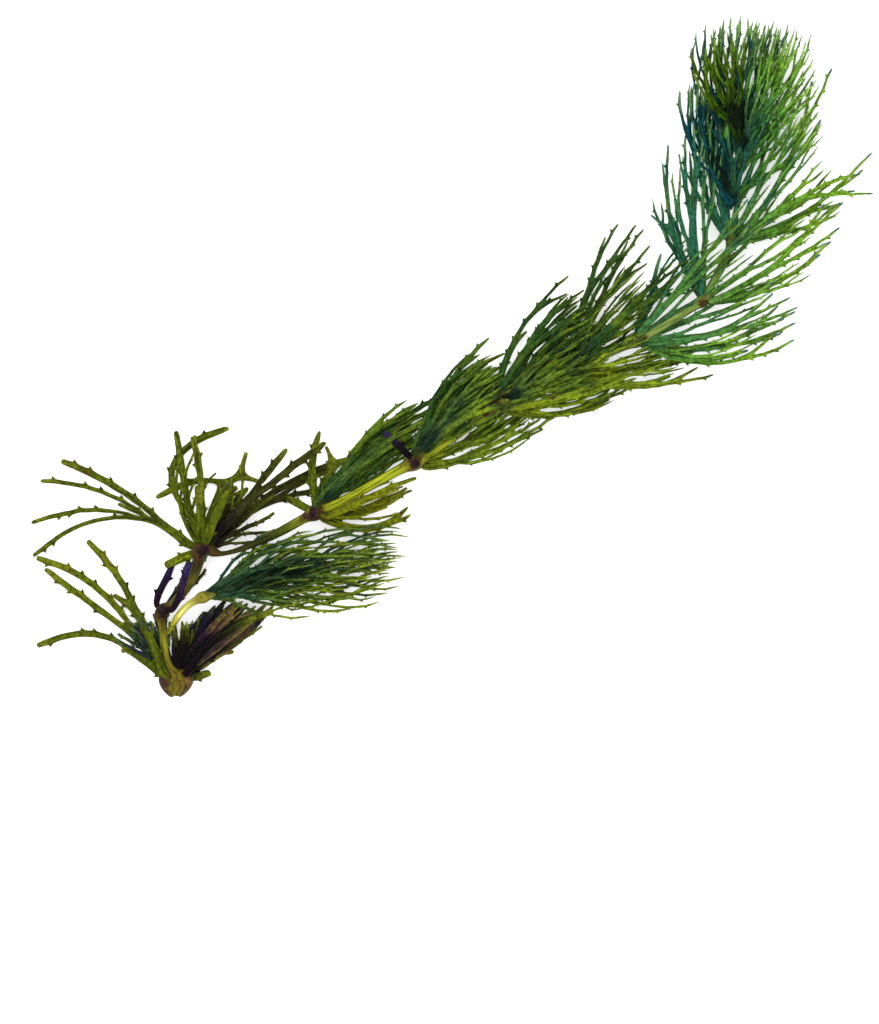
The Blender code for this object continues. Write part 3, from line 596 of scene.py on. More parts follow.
def hold_tips(piece):
    """Insets a blade's broken ends a little, so that they stay blunt when the blade is rounded."""
    to_tip = stored(piece, "to_tip")
    ends = [face.index for face in piece.data.polygons if all(to_tip[i] == 0.0 for i in face.vertices)]
    middles = [piece.data.polygons[i].center / MM for i in ends]
    select_faces(
        piece, lambda place, normal: any((place - middle).length < SAME_PLACE for middle in middles)
    )
    bpy.ops.mesh.inset(thickness=TIP_INSET * MM, use_individual=True)
    bpy.ops.object.mode_set(mode="OBJECT")


def widen(piece, at_base, at_tips):
    """Moves a leaf's margins out level."""
    level = normals_of(piece) * (1.0, 1.0, 0.0)
    amounts = at_base + (at_tips - at_base) * stored(piece, "share")
    put_points(piece, places_of(piece) + level * amounts[:, None])


def store_across(piece):
    """Keeps how far each point is to the side of a leaf's or stem's middle line, from its normal."""
    normals, forward = normals_of(piece), forward_of(piece, stored(piece, "along"))
    store(piece, "across", normals[:, 1] * forward[:, 0] - normals[:, 0] * forward[:, 1])


def blade_of(node, joint, blunt, widening, thorn, chance):
    """A rounded, thorny leaf made from a copy of its solid."""
    piece = closed_copy(node, f"{node}_blade")
    root_in(piece, Vector(joint), ROOT_DEPTH)
    measure_leaf(piece, joint)
    if blunt:
        hold_tips(piece)
    apply_modifier(piece, "SUBSURF", levels=2, render_levels=2)
    widen(piece, *widening)
    places = places_of(piece)
    places[:, 2] += LIFTS.get(node, 0.0) * (1.0 - (1.0 - stored(piece, "share")) ** LIFT_POWER)
    put_points(piece, places)
    store_across(piece)
    piece = set_thorns(piece, joint, thorn, 1.0 if blunt else YOUNG_THORN)
    tip = places_of(piece)[np.argmax(stored(piece, "along"))]
    store_tint(piece, node.split("_")[0], tip, chance)
    bpy.ops.object.shade_smooth()
    return piece


def select_faces(piece, wanted):
    """Leaves edit mode, selects the faces that a test of their middle and normal wants, and
    goes back."""
    bpy.ops.object.mode_set(mode="OBJECT")
    for part in (piece.data.vertices, piece.data.edges):
        part.foreach_set("select", [False] * len(part))
    for face in piece.data.polygons:
        face.select = wanted(face.center / MM, face.normal)
    bpy.ops.object.mode_set(mode="EDIT")


def end_face_at(place):
    """A test for the branch's end face whose middle is at an x and a y."""
    def wanted(middle, normal):
        along, across = abs(middle.x - place[0]), abs(middle.y - place[1])
        return normal.x > END_AHEAD and along < END_ALONG and across < END_ACROSS

    return wanted


def grow_branch(piece, start, end, width, widths):
    """Extrudes the end face at a start ring by ring to an end, each an x and a y, and brings it
    from its width now to the widths that the branch has at its start and its end."""
    select_faces(piece, end_face_at(start))
    rings = round((end[0] - start[0]) / PATTERN_SPAN)
    here = Vector((*start, 0.0))
    for ring in range(1, rings + 1):
        share = ring / rings
        y = start[1] + (end[1] - start[1]) * math.sin(share * math.pi / 2)
        there = Vector((start[0] + (end[0] - start[0]) * share, y, 0.0))
        wanted = widths[0] + (widths[1] - widths[0]) * share
        bpy.ops.mesh.extrude_region_move(TRANSFORM_OT_translate={"value": (there - here) * MM})
        bpy.ops.transform.resize(value=(1.0, wanted / width, THINNING), center_override=there * MM)
        here, width = there, wanted


def draw_hair(piece, place):
    """Draws the selected end face out into a fine hair."""
    point = Vector((place[0] + HAIR_LENGTH, place[1], 0.0)) * MM
    bpy.ops.mesh.extrude_region_move(TRANSFORM_OT_translate={"value": (HAIR_LENGTH * MM, 0.0, 0.0)})
    bpy.ops.transform.resize(value=(1.0, HAIR_SHARE, HAIR_SHARE), center_override=point)


def fork_leaf(piece, place, form, stage):
    """Splits a branch's end face in two by an upright cut through its middle, and grows both
    sides, which fork again in turn."""
    select_faces(piece, end_face_at(place))
    bpy.ops.mesh.bisect(plane_co=(place[0] * MM, place[1] * MM, 0.0), plane_no=(0.0, 1.0, 0.0))
    half = form.widths[stage - 1][1] / 2
    for side, x in zip((1.0, -1.0), form.ends[stage - 1]):
        start = (place[0], place[1] + side * half / 2)
        end = (x, place[1] + side * form.spreads[stage - 1] / 2)
        grow_branch(piece, start, end, half, form.widths[stage])
        if stage < len(form.ends):
            fork_leaf(piece, end, form, stage + 1)
        elif form.pointed:
            draw_hair(piece, end)
        else:
            bpy.ops.mesh.inset(thickness=TIP_INSET * MM)


def start_leaf(name, width, thickness):
    """The first span of a pattern leaf, in edit mode."""
    deselect_all()
    middle = (PATTERN_SPAN / 2 * MM, 0.0, 0.0)
    bpy.ops.mesh.primitive_cube_add(size=MM, location=middle)
    piece = bpy.context.active_object
    piece.name = name
    bpy.ops.object.transform_apply()
    bpy.ops.object.mode_set(mode="EDIT")
    bpy.ops.transform.resize(value=(PATTERN_SPAN, width, thickness), center_override=middle)
    return piece


def finish_leaf(piece, levels):
    """Leaves edit mode, and measures and rounds a pattern leaf."""
    bpy.ops.object.mode_set(mode="OBJECT")
    measure_leaf(piece, (0.0, 0.0, 0.0))
    apply_modifier(piece, "SUBSURF", levels=levels, render_levels=levels)
    store(piece, "across", places_of(piece)[:, 1])
    bpy.ops.object.shade_smooth()


def forked_leaf(name, form, thorn):
    """A leaf that forks once or twice, with thorns along its outer margins."""
    width = form.widths[0][0]
    piece = start_leaf(name, width, PATTERN_THICKNESS)
    grow_branch(piece, (PATTERN_SPAN, 0.0), (form.fork, 0.0), width, form.widths[0])
    fork_leaf(piece, (form.fork, 0.0), form, 1)
    finish_leaf(piece, 1)
    piece = set_thorns(piece, (0.0, 0.0, 0.0), thorn, PATTERN_THORN)
    bpy.ops.object.shade_smooth()
    return piece


def withered_leaf(name, seed):
    """A decayed leaf is a broad, thin, crumpled ribbon that has lost its thorns."""
    piece = start_leaf(name, WITHERED_WIDTHS[0], WITHERED_THICKNESS)
    select_faces(piece, end_face_at((PATTERN_SPAN, 0.0)))
    width = WITHERED_WIDTHS[0]
    for ring, wanted in enumerate(WITHERED_WIDTHS[1:], start=2):
        there = Vector((ring * PATTERN_SPAN, 0.0, 0.0)) * MM
        bpy.ops.mesh.extrude_region_move(TRANSFORM_OT_translate={"value": (PATTERN_SPAN * MM, 0.0, 0.0)})
        bpy.ops.transform.resize(value=(1.0, wanted / width, 1.0), center_override=there)
        width = wanted
    bpy.ops.mesh.select_all(action="SELECT")
    bpy.ops.mesh.bisect(plane_co=(0.0, 0.0, 0.0), plane_no=(0.0, 1.0, 0.0))
    bpy.ops.mesh.select_all(action="SELECT")
    bpy.ops.transform.vertex_random(offset=WITHERED_CRUMPLE * MM, uniform=0.0, normal=0.0, seed=seed)
    finish_leaf(piece, 2)
    store(piece, "tooth", np.zeros(len(piece.data.vertices)))
    return piece


def cut_end():
    """The stem was cut just under its oldest joint. What is left of the leaf bases there narrows to
    two rounded lobes."""
    deselect_all()
    middle = Vector(CUT_END)
    bpy.ops.mesh.primitive_cube_add(size=MM, location=middle * MM)
    piece = bpy.context.active_object
    piece.name = "cut_end"
    bpy.ops.object.transform_apply()
    bpy.ops.object.mode_set(mode="EDIT")
    bpy.ops.transform.resize(value=CUT_END_SIZE, center_override=middle * MM)
    bpy.ops.mesh.bisect(plane_co=middle * MM, plane_no=(1.0, 0.0, 0.0))
    select_faces(piece, lambda place, normal: normal.y > LOOKS_THAT_WAY)
    shoulder = Vector((0.0, CUT_END_SHOULDER * MM, 0.0))
    bpy.ops.transform.translate(value=shoulder)
    bpy.ops.transform.resize(value=(SHOULDER_SHARE, 1.0, SHOULDER_SHARE), center_override=middle * MM)
    for side in (-1.0, 1.0):
        lobe = middle + Vector((side * CUT_END_SIZE[0] / 4, -CUT_END_SIZE[1] / 2, 0.0))
        select_faces(piece, lambda place, normal: (place - lobe).length < LOBE_NEAR)
        step = Vector((-side * LOBE_LEAN, -LOBE_REACH, -LOBE_DROP)) * MM
        bpy.ops.mesh.extrude_region_move(TRANSFORM_OT_translate={"value": step})
        end = lobe * MM + step
        bpy.ops.transform.resize(value=(LOBE_SHARE, 1.0, LOBE_SHARE), center_override=end)
    bpy.ops.mesh.select_all(action="SELECT")
    bpy.ops.transform.vertex_random(
        offset=CUT_END_WEAR * MM, uniform=0.0, normal=0.0, seed=WEAR_SEED
    )
    bpy.ops.object.mode_set(mode="OBJECT")
    measure_leaf(piece, JOINTS["whorl1"])
    apply_modifier(piece, "SUBSURF", levels=3, render_levels=3)
    store(piece, "joint", np.full(len(piece.data.vertices), CUT_END_STAIN))
    left = CUT_END[0] - CUT_END_SIZE[0] / 2
    store(piece, "share", (places_of(piece)[:, 0] - left) / CUT_END_SIZE[0])
    store_across(piece)
    bpy.ops.object.shade_smooth()
    return piece


def way_between(start, end, bow, arch):
    """A curve from a joint to a tip, with its bulge to the left and its arch in millimetres."""
    start, end = Vector(start) * MM, Vector(end) * MM
    across = Vector((start.y - end.y, end.x - start.x, 0.0)) * bow
    bend = (start + end) / 2 + across + Vector((0.0, 0.0, arch * MM))
    deselect_all()
    bpy.ops.curve.primitive_bezier_curve_add()
    way = bpy.context.active_object
    way.matrix_world = Matrix.Identity(4)
    way.data.twist_mode = "Z_UP"
    way.data.resolution_u = WAY_STEPS
    points = way.data.splines[0].bezier_points
    for point, place in zip(points, (start, end)):
        point.handle_left_type = point.handle_right_type = "FREE"
        point.co = place
        point.handle_left = point.handle_right = place.lerp(bend, 2 / 3)
    return way


def lay_leaf(pattern, name, start, end, bow, arch, breadth):
    """Copies a pattern leaf and lays it along a way from a joint to its tip."""
    way = way_between(start, end, bow, arch)
    length = way.data.splines[0].calc_length() / MM
    leaf = bpy.data.objects.new(name, pattern.data.copy())
    bpy.context.scene.collection.objects.link(leaf)
    leaf.data.transform(Matrix.Diagonal((length / PATTERN_LENGTH, breadth, abs(breadth), 1.0)))
    if breadth < 0.0:
        leaf.data.flip_normals()
    make_active(leaf)
    apply_modifier(leaf, "CURVE", object=way, deform_axis="POS_X")
    bpy.data.objects.remove(way, do_unlink=True)
    return leaf


def join_leaves(leaves, name):
    make_active(leaves[0])
    for leaf in leaves:
        leaf.select_set(True)
    bpy.ops.object.join()
    leaves[0].name = leaves[0].data.name = name
    return leaves[0]


def stem_way(joint):
    """The level direction of the stem at a joint: from the one before it, or to the next one."""
    names = list(JOINTS)
    number = names.index(joint)
    after = names[number + 1] if number + 1 < len(names) else ""
    same_stem = after.rstrip("0123456789") == joint.rstrip("0123456789")
    here, there = (number, number + 1) if same_stem else (number - 1, number)
    way = Vector(JOINTS[names[there]]) - Vector(JOINTS[names[here]])
    return Vector((way.x, way.y, 0.0)).normalized()


def store_tint(leaf, joint, tip, chance):
    """Keeps how blue a leaf is. Those on the stem's left are bluer than those on its right."""
    turn = stem_way(joint).to_2d().angle_signed((Vector(tip) - Vector(JOINTS[joint])).to_2d())
    tint = MIDDLE_TINT - turn / LEFT_TURN + chance.uniform(-TINT_SCATTER, TINT_SCATTER)
    store(leaf, "tint", np.full(len(leaf.data.vertices), tint))


def fan_of_leaves(name, fans, patterns, chance):
    """Lays out the leaves of one or more fans and joins them into one piece."""
    leaves = []
    for fan in fans:
        start = Vector(JOINTS[fan.joint])
        turn = (fan.right[0] - fan.left[0] + 180.0) % 360.0 - 180.0
        right = (fan.left[0] + turn, *fan.right[1:])
        for i in range(fan.count):
            share = i / (fan.count - 1)
            bearing, reach, bow = [a + (b - a) * share for a, b in zip(fan.left, right)]
            bearing = math.radians(bearing + chance.uniform(-BEARING_SCATTER, BEARING_SCATTER))
            reach *= chance.uniform(*REACH_SCATTER)
            tip = start + reach * Vector((math.cos(bearing), math.sin(bearing), 0.0))
            tip.z = chance.uniform(*fan.tips)
            base = start + fan.spread * chance.uniform(-0.5, 0.5) * stem_way(fan.joint)
            bow += chance.uniform(-BOW_SCATTER, BOW_SCATTER)
            arch = chance.uniform(*fan.arch)
            breadth = chance.uniform(*fan.breadth) * chance.choice((-1.0, 1.0))
            pattern = chance.choice(patterns)
            leaf = lay_leaf(pattern, f"{name}_{len(leaves)}", base, tip, bow, arch, breadth)
            store_tint(leaf, fan.joint, tip, chance)
            leaves.append(leaf)
    return join_leaves(leaves, name)


def cells_of(piece, low):
    """The cell that each point lies in, seen from above."""
    return tuple(((places_of(piece)[:, :2] - low) / LAYER_CELL).astype(int).T)


def store_layers(pieces):
    """Keeps how many leaves lie over and under each point. Where there are many, less light comes
    through them, and it is bluer."""
    low, high = (np.array(corner[:2]) / MM for corner in MODEL_BOX)
    low = low - LAYER_MARGIN
    covered = np.zeros(np.ceil((high + LAYER_MARGIN - low) / LAYER_CELL).astype(int))
    for piece in pieces:
        faces = piece.data.polygons
        areas, totals = np.empty(len(faces)), np.empty(len(faces), dtype=int)
        normals, corners = np.empty(len(faces) * 3), np.empty(len(piece.data.loops), dtype=int)
        faces.foreach_get("area", areas)
        faces.foreach_get("loop_total", totals)
        faces.foreach_get("normal", normals)
        piece.data.loops.foreach_get("vertex_index", corners)
        seen = areas * np.abs(normals[2::3]) / totals / (LAYER_CELL * MM) ** 2
        x, y = cells_of(piece, low)
        np.add.at(covered, (x[corners], y[corners]), np.repeat(seen, totals) / 2)
    for _ in range(LAYER_BLURS):
        for axis in (0, 1):
            covered = (np.roll(covered, 1, axis) + 2 * covered + np.roll(covered, -1, axis)) / 4
    for piece in pieces:
        store(piece, "layers", covered[cells_of(piece, low)])


def linear(hex_colour):
    """An sRGB hex colour as linear red, green, blue and alpha."""
    channels = [int(hex_colour[i : i + 2], 16) / 255 for i in (1, 3, 5)]
    return (*[c / 12.92 if c <= 0.04045 else ((c + 0.055) / 1.055) ** 2.4 for c in channels], 1.0)


def add_node(tree, kind, inputs=(), stops=(), **settings):
    """Adds a node with its settings, and the stops of its colour ramp if it has one, each a place
    from 0 to 1 and an sRGB colour. Then it sets its inputs to values or links them to outputs."""
    node = tree.nodes.new(kind)
    for name, value in settings.items():
        setattr(node, name, value)
    for i, (place, colour) in enumerate(stops):
        elements = node.color_ramp.elements
        element = elements[i] if i < len(elements) else elements.new(place)
        element.position = place
        element.color = linear(colour)
    for name, value in dict(inputs).items():
        if isinstance(value, bpy.types.NodeSocket):
            tree.links.new(value, node.inputs[name])
        else:
            node.inputs[name].default_value = value
    return node


# Noise in the skins: the size of its spots in millimetres, and its detail
CLOUDS = (3.5, 2.0)
CELLS = (0.45, 3.0)
DIRT = (0.8, 4.0)
BLOTCHES = (1.1, 4.0)

# Streaks to a millimetre along any skin and across a stem, and how far a tint shifts them
STREAKS_ALONG = 0.3
STEM_STREAKS = 2.6
TINT_SHIFT = 20.0

# The clouds add up to this many layers to the count at a point, and half of it on average, which
# the layers of a look are raised by
CLOUD_LAYERS = 2.4

# Each fade is where a change of colour starts and where it is complete. This one is on the sum of
# the patches and the leaf's own tint.
PATCH_FADE = (0.7, 1.35)

# Fades on the distance to the leaf's tip in millimetres: to the tip's colour, to the hairs' and to
# full shade, and how strong the tip's colour and how light its shade is
TIP_FADE = (3.0, 0.3)
HAIR_FADE = (0.9, 0.0)
TIP_SHADE_FADE = (0.5, 6.0)
TIP_STRENGTH = 0.7
TIP_SHADE = 0.15

# The fade to full shade on the share of the leaf's length, and the shade at its base
BASE_SHADE_FADE = (0.0, 0.16)
BASE_SHADE = 0.35

# The fade to the painted shade on the sides is on how far up the surface faces, to which a leaf
# adds the height on a thorn. The fade to the thorns' points is on that height.
SIDE_SHADE_FADE = (0.85, 0.2)
POINT_FADE = (0.5, 1.1)

# The fade to dirt is on its noise, and the specks of a look lower it. A clean leaf has no dirt.
DIRT_FADE = (0.72, 0.74)
CLEAN = -1.0

# The fades to a joint's stain and to the bruise in it are on the nearness of the joint plus
# blotches of this strength
STAIN_FADE = (1.0, 1.35)
BRUISE_FADE = (1.3, 1.6)
BLOTCH_STRENGTH = 1.6

# How strong the rows of cells and the mottle of a leaf are, and a stem's air channels and the
# painted shade on its sides
PATTERN_STRENGTH = 0.8
CHANNEL_STRENGTH = 0.85
STEM_SIDE_SHADE = 0.75

# From nothing to all, and the roughness of the smoothest and the roughest cells of a leaf
FULL = (0.0, 1.0)
LEAF_ROUGHNESS = (0.32, 0.6)

# The constants of the shaders. Wet skin bends light a little more than water does, and some light
# passes through its flesh. The table is matt, and its own light is faint.
LEAF_FINISH = {
    "IOR": 1.42,
    "Specular IOR Level": 0.06,
    "Subsurface Weight": 0.35,
    "Subsurface Radius": (0.5, 0.8, 0.15),
    "Subsurface Scale": 0.4 * MM,
}
STEM_FINISH = {
    "Roughness": 0.42,
    "IOR": 1.42,
    "Specular IOR Level": 0.1,
    "Subsurface Weight": 0.3,
    "Subsurface Radius": (0.6, 0.7, 0.2),
    "Subsurface Scale": 0.5 * MM,
}
TABLE_FINISH = {
    "Roughness": 0.9,
    "Specular IOR Level": 0.0,
    "Emission Color": (1.0, 1.0, 1.0, 1.0),
    "Emission Strength": TABLE_GLOW,
}


def new_material(name, finish):
    """A material, its tree, its shader with the constants of its finish, and each point's place."""
    material = bpy.data.materials.new(name)
    material.use_nodes = True
    tree = material.node_tree
    shader = tree.nodes["Principled BSDF"]
    for socket, value in finish.items():
        shader.inputs[socket].default_value = value
    return material, tree, shader, add_node(tree, "ShaderNodeTexCoord").outputs["Object"]


def lengthwise_rows(tree, across_scale):
    """Noise in streaks along a leaf or stem, where rows of cells and air channels show through."""
    along, across, tint = [
        add_node(tree, "ShaderNodeAttribute", attribute_name=stored_as).outputs["Fac"]
        for stored_as in ("along", "across", "tint")
    ]
    unrolled = add_node(tree, "ShaderNodeCombineXYZ", {"X": along, "Y": across, "Z": tint})
    placed = add_node(
        tree,
        "ShaderNodeMapping",
        {"Vector": unrolled.outputs["Vector"], "Scale": (STREAKS_ALONG, across_scale, TINT_SHIFT)},
    )
    return add_node(
        tree, "ShaderNodeTexNoise", {"Vector": placed.outputs["Vector"], "Scale": 1.0, "Detail": 3.0}
    ).outputs["Fac"]


def leaf_skin(look):
    """Living plant skin: a translucent film of cells over a soft core. Its colour goes from the fresh
    stops to the other colour from leaf to leaf and in patches, and to the deep and darkest ones of
    a painted shade where many leaves lie on each other. Young leaves end in bluish hairs. A leaf's
    sides, where its surface turns from facing up, are darker with painted shade, and its thorns end
    in a brown point."""
    material, tree, shader, position = new_material(look.name, LEAF_FINISH)
    share, to_tip, tooth, tint, count = [
        add_node(tree, "ShaderNodeAttribute", attribute_name=stored_as).outputs["Fac"]
        for stored_as in ("share", "to_tip", "tooth", "tint", "layers")
    ]
    clouds, cells, dirt = [
        add_node(
            tree, "ShaderNodeTexNoise", {"Vector": position, "Scale": 1 / (size * MM), "Detail": detail}
        ).outputs["Fac"]
        for size, detail in (CLOUDS, CELLS, DIRT)
    ]
    streaks = lengthwise_rows(tree, look.rows)
    normal = add_node(tree, "ShaderNodeNewGeometry").outputs["Normal"]
    height = add_node(tree, "ShaderNodeSeparateXYZ", {"Vector": normal}).outputs["Z"]
    mood, cloudy, height, relief = [
        add_node(tree, "ShaderNodeMath", dict(enumerate(values)), operation=operation).outputs[0]
        for operation, *values in (
            ("MULTIPLY_ADD", clouds, look.patches, tint),
            ("MULTIPLY_ADD", clouds, CLOUD_LAYERS, count),
            ("ADD", height, tooth),
            ("ADD", streaks, cells),
        )
    ]
    patchy, near_tip, at_end, depth, below, beyond, side_shade, point, dirty, rough = [
        add_node(
            tree,
            "ShaderNodeMapRange",
            {"Value": value, "From Min": start, "From Max": end, "To Min": least, "To Max": most},
        ).outputs["Result"]
        for value, (start, end), (least, most) in (
            (mood, PATCH_FADE, FULL),
            (to_tip, TIP_FADE, (0.0, TIP_STRENGTH)),
            (to_tip, HAIR_FADE, (0.0, look.hairs)),
            (cloudy, [layers + CLOUD_LAYERS / 2 for layers in look.layers], FULL),
            (to_tip, TIP_SHADE_FADE, (TIP_SHADE, 1.0)),
            (share, BASE_SHADE_FADE, (BASE_SHADE, 1.0)),
            (height, SIDE_SHADE_FADE, (0.0, look.edge)),
            (tooth, POINT_FADE, FULL),
            (dirt, [edge - look.specks for edge in DIRT_FADE], FULL),
            (cells, FULL, LEAF_ROUGHNESS),
        )
    ]
    # Painted shade: the colour turns to the deep and darkest ones where many leaves lie on each other, less
    # so near the tip and the base
    painted_shade_amount = depth
    for light in (below, beyond):
        painted_shade_amount = add_node(tree, "ShaderNodeMath", {0: painted_shade_amount, 1: light}, operation="MULTIPLY").outputs[0]
    colour, shade, rows_of_cells, mottle = [
        add_node(tree, "ShaderNodeValToRGB", {"Fac": place}, stops).outputs["Color"]
        for place, stops in (
            (share, look.fresh),
            (depth, [(0.55, look.deep), (1.0, look.darkest)]),
            (streaks, [(0.37, "#525A44"), (0.53, "#FFFFFF")]),
            (cells, [(0.35, "#8C8C8C"), (0.65, "#FFFFFF")]),
        )
    ]
    for amount, wash, blend in (
        (patchy, linear(look.other), "MIX"),
        (near_tip, linear(look.tip), "MIX"),
        (at_end, linear(HAIR_BLUE), "MIX"),
        (painted_shade_amount, shade, "MIX"),
        (PATTERN_STRENGTH, rows_of_cells, "MULTIPLY"),
        (PATTERN_STRENGTH, mottle, "MULTIPLY"),
        # Painted shade on the sides of the leaf, where the surface turns from facing up
        (side_shade, linear(SIDE_SHADE_GREEN), "MIX"),
        (point, linear(THORN_BROWN), "MIX"),
        (dirty, linear(DIRT_BROWN), "MIX"),
    ):
        colour = add_node(
            tree, "ShaderNodeMix", {0: amount, 6: colour, 7: wash}, data_type="RGBA", blend_type=blend
        ).outputs[2]
    bump = add_node(
        tree, "ShaderNodeBump", {"Height": relief, "Strength": 0.5, "Distance": 0.06 * MM}
    ).outputs["Normal"]
    tree.links.new(colour, shader.inputs["Base Color"])
    tree.links.new(rough, shader.inputs["Roughness"])
    tree.links.new(bump, shader.inputs["Normal"])
    return material


def stem_skin(name, ages, stain, bruise):
    """The stem's smooth skin, streaked along its length by the air channels under it, and stained
    round each joint, where old leaf bases have bruised it in patches. Its sides, where the surface
    turns from facing up, are darker with painted shade."""
    material, tree, shader, position = new_material(name, STEM_FINISH)
    age, joint = [
        add_node(tree, "ShaderNodeAttribute", attribute_name=stored_as).outputs["Fac"]
        for stored_as in ("share", "joint")
    ]
    size, detail = BLOTCHES
    blotches = add_node(
        tree, "ShaderNodeTexNoise", {"Vector": position, "Scale": 1 / (size * MM), "Detail": detail}
    ).outputs["Fac"]
    streaks = lengthwise_rows(tree, STEM_STREAKS)
    ragged = add_node(
        tree, "ShaderNodeMath", {0: blotches, 1: BLOTCH_STRENGTH, 2: joint}, operation="MULTIPLY_ADD"
    ).outputs[0]
    normal = add_node(tree, "ShaderNodeNewGeometry").outputs["Normal"]
    height = add_node(tree, "ShaderNodeSeparateXYZ", {"Vector": normal}).outputs["Z"]
    stained, bruised, side_shade = [
        add_node(
            tree, "ShaderNodeMapRange", {"Value": value, "From Min": start, "From Max": end, "To Max": most}
        ).outputs["Result"]
        for value, (start, end), most in (
            (ragged, STAIN_FADE, 1.0),
            (ragged, BRUISE_FADE, 1.0),
            (height, SIDE_SHADE_FADE, STEM_SIDE_SHADE),
        )
    ]
    colour, channels = [
        add_node(tree, "ShaderNodeValToRGB", {"Fac": place}, stops).outputs["Color"]
        for place, stops in ((age, ages), (streaks, [(0.36, "#6E6E52"), (0.6, "#FFFFFF")]))
    ]
    for amount, wash, blend in (
        (CHANNEL_STRENGTH, channels, "MULTIPLY"),
        (stained, linear(stain), "MIX"),
        (bruised, linear(bruise), "MIX"),
        # Painted shade on the sides of the stem, where the surface turns from facing up
        (side_shade, linear(SIDE_SHADE_GREEN), "MIX"),
    ):
        colour = add_node(
            tree, "ShaderNodeMix", {0: amount, 6: colour, 7: wash}, data_type="RGBA", blend_type=blend
        ).outputs[2]
    bump = add_node(
        tree, "ShaderNodeBump", {"Height": streaks, "Strength": 0.7, "Distance": 0.12 * MM}
    ).outputs["Normal"]
    tree.links.new(colour, shader.inputs["Base Color"])
    tree.links.new(bump, shader.inputs["Normal"])
    return material


def opal_glass():
    """The light table's top is opal glass, evenly white and faintly lit from under it."""
    material, tree, shader, position = new_material("opal glass of a light table", TABLE_FINISH)
    haze = add_node(
        tree, "ShaderNodeTexNoise", {"Vector": position, "Scale": 1 / (HAZE_SIZE * MM)}
    ).outputs["Fac"]
    white = add_node(
        tree, "ShaderNodeValToRGB", {"Fac": haze}, [(0.3, "#F6F6F6"), (0.7, "#FAFAFA")]
    ).outputs["Color"]
    tree.links.new(white, shader.inputs["Base Color"])
    return material


def dress(piece, material, slot, *nodes):
    """Gives a finished piece its material, and has it ride where its solid was."""
    piece.data.materials.clear()
    piece.data.materials.append(material)
    for face in piece.data.polygons:
        face.material_index = 0
    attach(piece, "root")
    if nodes:
        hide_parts(*nodes)


def make_leaves(skins, thorn, chance):
    """Makes the blade of each leaf that has a solid of its own."""
    blades = []
    for node in sorted(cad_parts):
        joint = node.split("_")[0]
        if joint not in JOINTS:
            continue
        rank = int(joint[5:])
        blunt = rank <= LAST_BLUNT or node.endswith("stub")
        widening = OLD_WIDENING if rank <= LAST_WIDE or node.endswith("stub") else YOUNG_WIDENING
        piece = blade_of(node, JOINTS[joint], blunt, widening, thorn, chance)
        skin = skins[UNLIKE_LEAVES.get(node, WHORL_SKINS[joint])]
        dress(piece, skin, "young_leaf" if rank >= FIRST_YOUNG else "old_leaf", node)
        blades.append(piece)
    return blades


def make_stem(node, base, material):
    """A stem is a rounded copy of its solid, and keeps how near each point is to a joint."""
    piece = closed_copy(node, f"{node}_skin")
    if node == "side_stem":
        root_in(piece, Vector(base), FORK_DEPTH)
    measure_leaf(piece, base)
    apply_modifier(piece, "SUBSURF", levels=2, render_levels=2)
    if node == "side_stem":
        widen(piece, *SIDE_STEM_WIDENING)
    places = places_of(piece)[:, :2]
    apart = [np.linalg.norm(places - np.array(place[:2]), axis=1) for place in JOINTS.values()]
    nearness = 1.0 - np.clip(np.min(apart, axis=0) / JOINT_STAIN, 0.0, 1.0)
    store(piece, "joint", nearness * np.interp(stored(piece, "share"), *zip(*STAIN_STRENGTHS)))
    store_across(piece)
    bpy.ops.object.shade_smooth()
    dress(piece, material, "stem", node)
    return piece


def make_floor():
    deselect_all()
    bpy.ops.mesh.primitive_plane_add(size=FLOOR_SIZE)
    floor = bpy.context.active_object
    floor.name = "light_table"
    floor.data.materials.append(opal_glass())


def make_light():
    """Even light from all round, as over a light table, and one wide soft lamp above."""
    world = bpy.data.worlds.new("soft white room")
    bpy.context.scene.world = world
    world.use_nodes = True
    world.node_tree.nodes["Background"].inputs["Color"].default_value = (1.0, 1.0, 1.0, 1.0)
    world.node_tree.nodes["Background"].inputs["Strength"].default_value = ROOM_LIGHT
    lamp = bpy.data.lights.new("wide soft lamp", "AREA")
    lamp.shape = "DISK"
    lamp.size = LAMP_SIZE
    lamp.energy = LAMP_POWER
    holder = bpy.data.objects.new("wide soft lamp", lamp)
    bpy.context.scene.collection.objects.link(holder)
    holder.location = LAMP_PLACE
    holder.rotation_euler = (-holder.location).to_track_quat("-Z", "Y").to_euler()


def make_camera():
    camera = bpy.data.cameras.new("camera")
    camera.sensor_width = SENSOR
    camera.lens = SENSOR * CAMERA_HEIGHT / PICTURE_HEIGHT
    camera.clip_start = CLIP_START
    holder = bpy.data.objects.new("camera", camera)
    bpy.context.scene.collection.objects.link(holder)
    x, y = PICTURE_MIDDLE
    holder.location = (x * MM, y * MM, CAMERA_HEIGHT * MM)
    bpy.context.scene.camera = holder


@dataclass
class LeafLook:
    """How one kind of leaf looks: its name, its fresh colours from base to tip, the other colour
    that it turns to in patches, the colour of its tips, and those of the painted shade where it lies
    deep and deepest. Layers are how many leaves lie over each other where its painted shade starts
    and where it is full. Hairs are how blue its very tips are, rows how close its rows of cells are,
    and edge how strong the painted shade on its sides is."""

    name: str
    fresh: list
    other: str
    tip: str
    deep: str
    darkest: str
    layers: tuple
    hairs: float = 0.0
    patches: float = 1.0
    specks: float = CLEAN
    rows: float = 5.0
    edge: float = 0.7


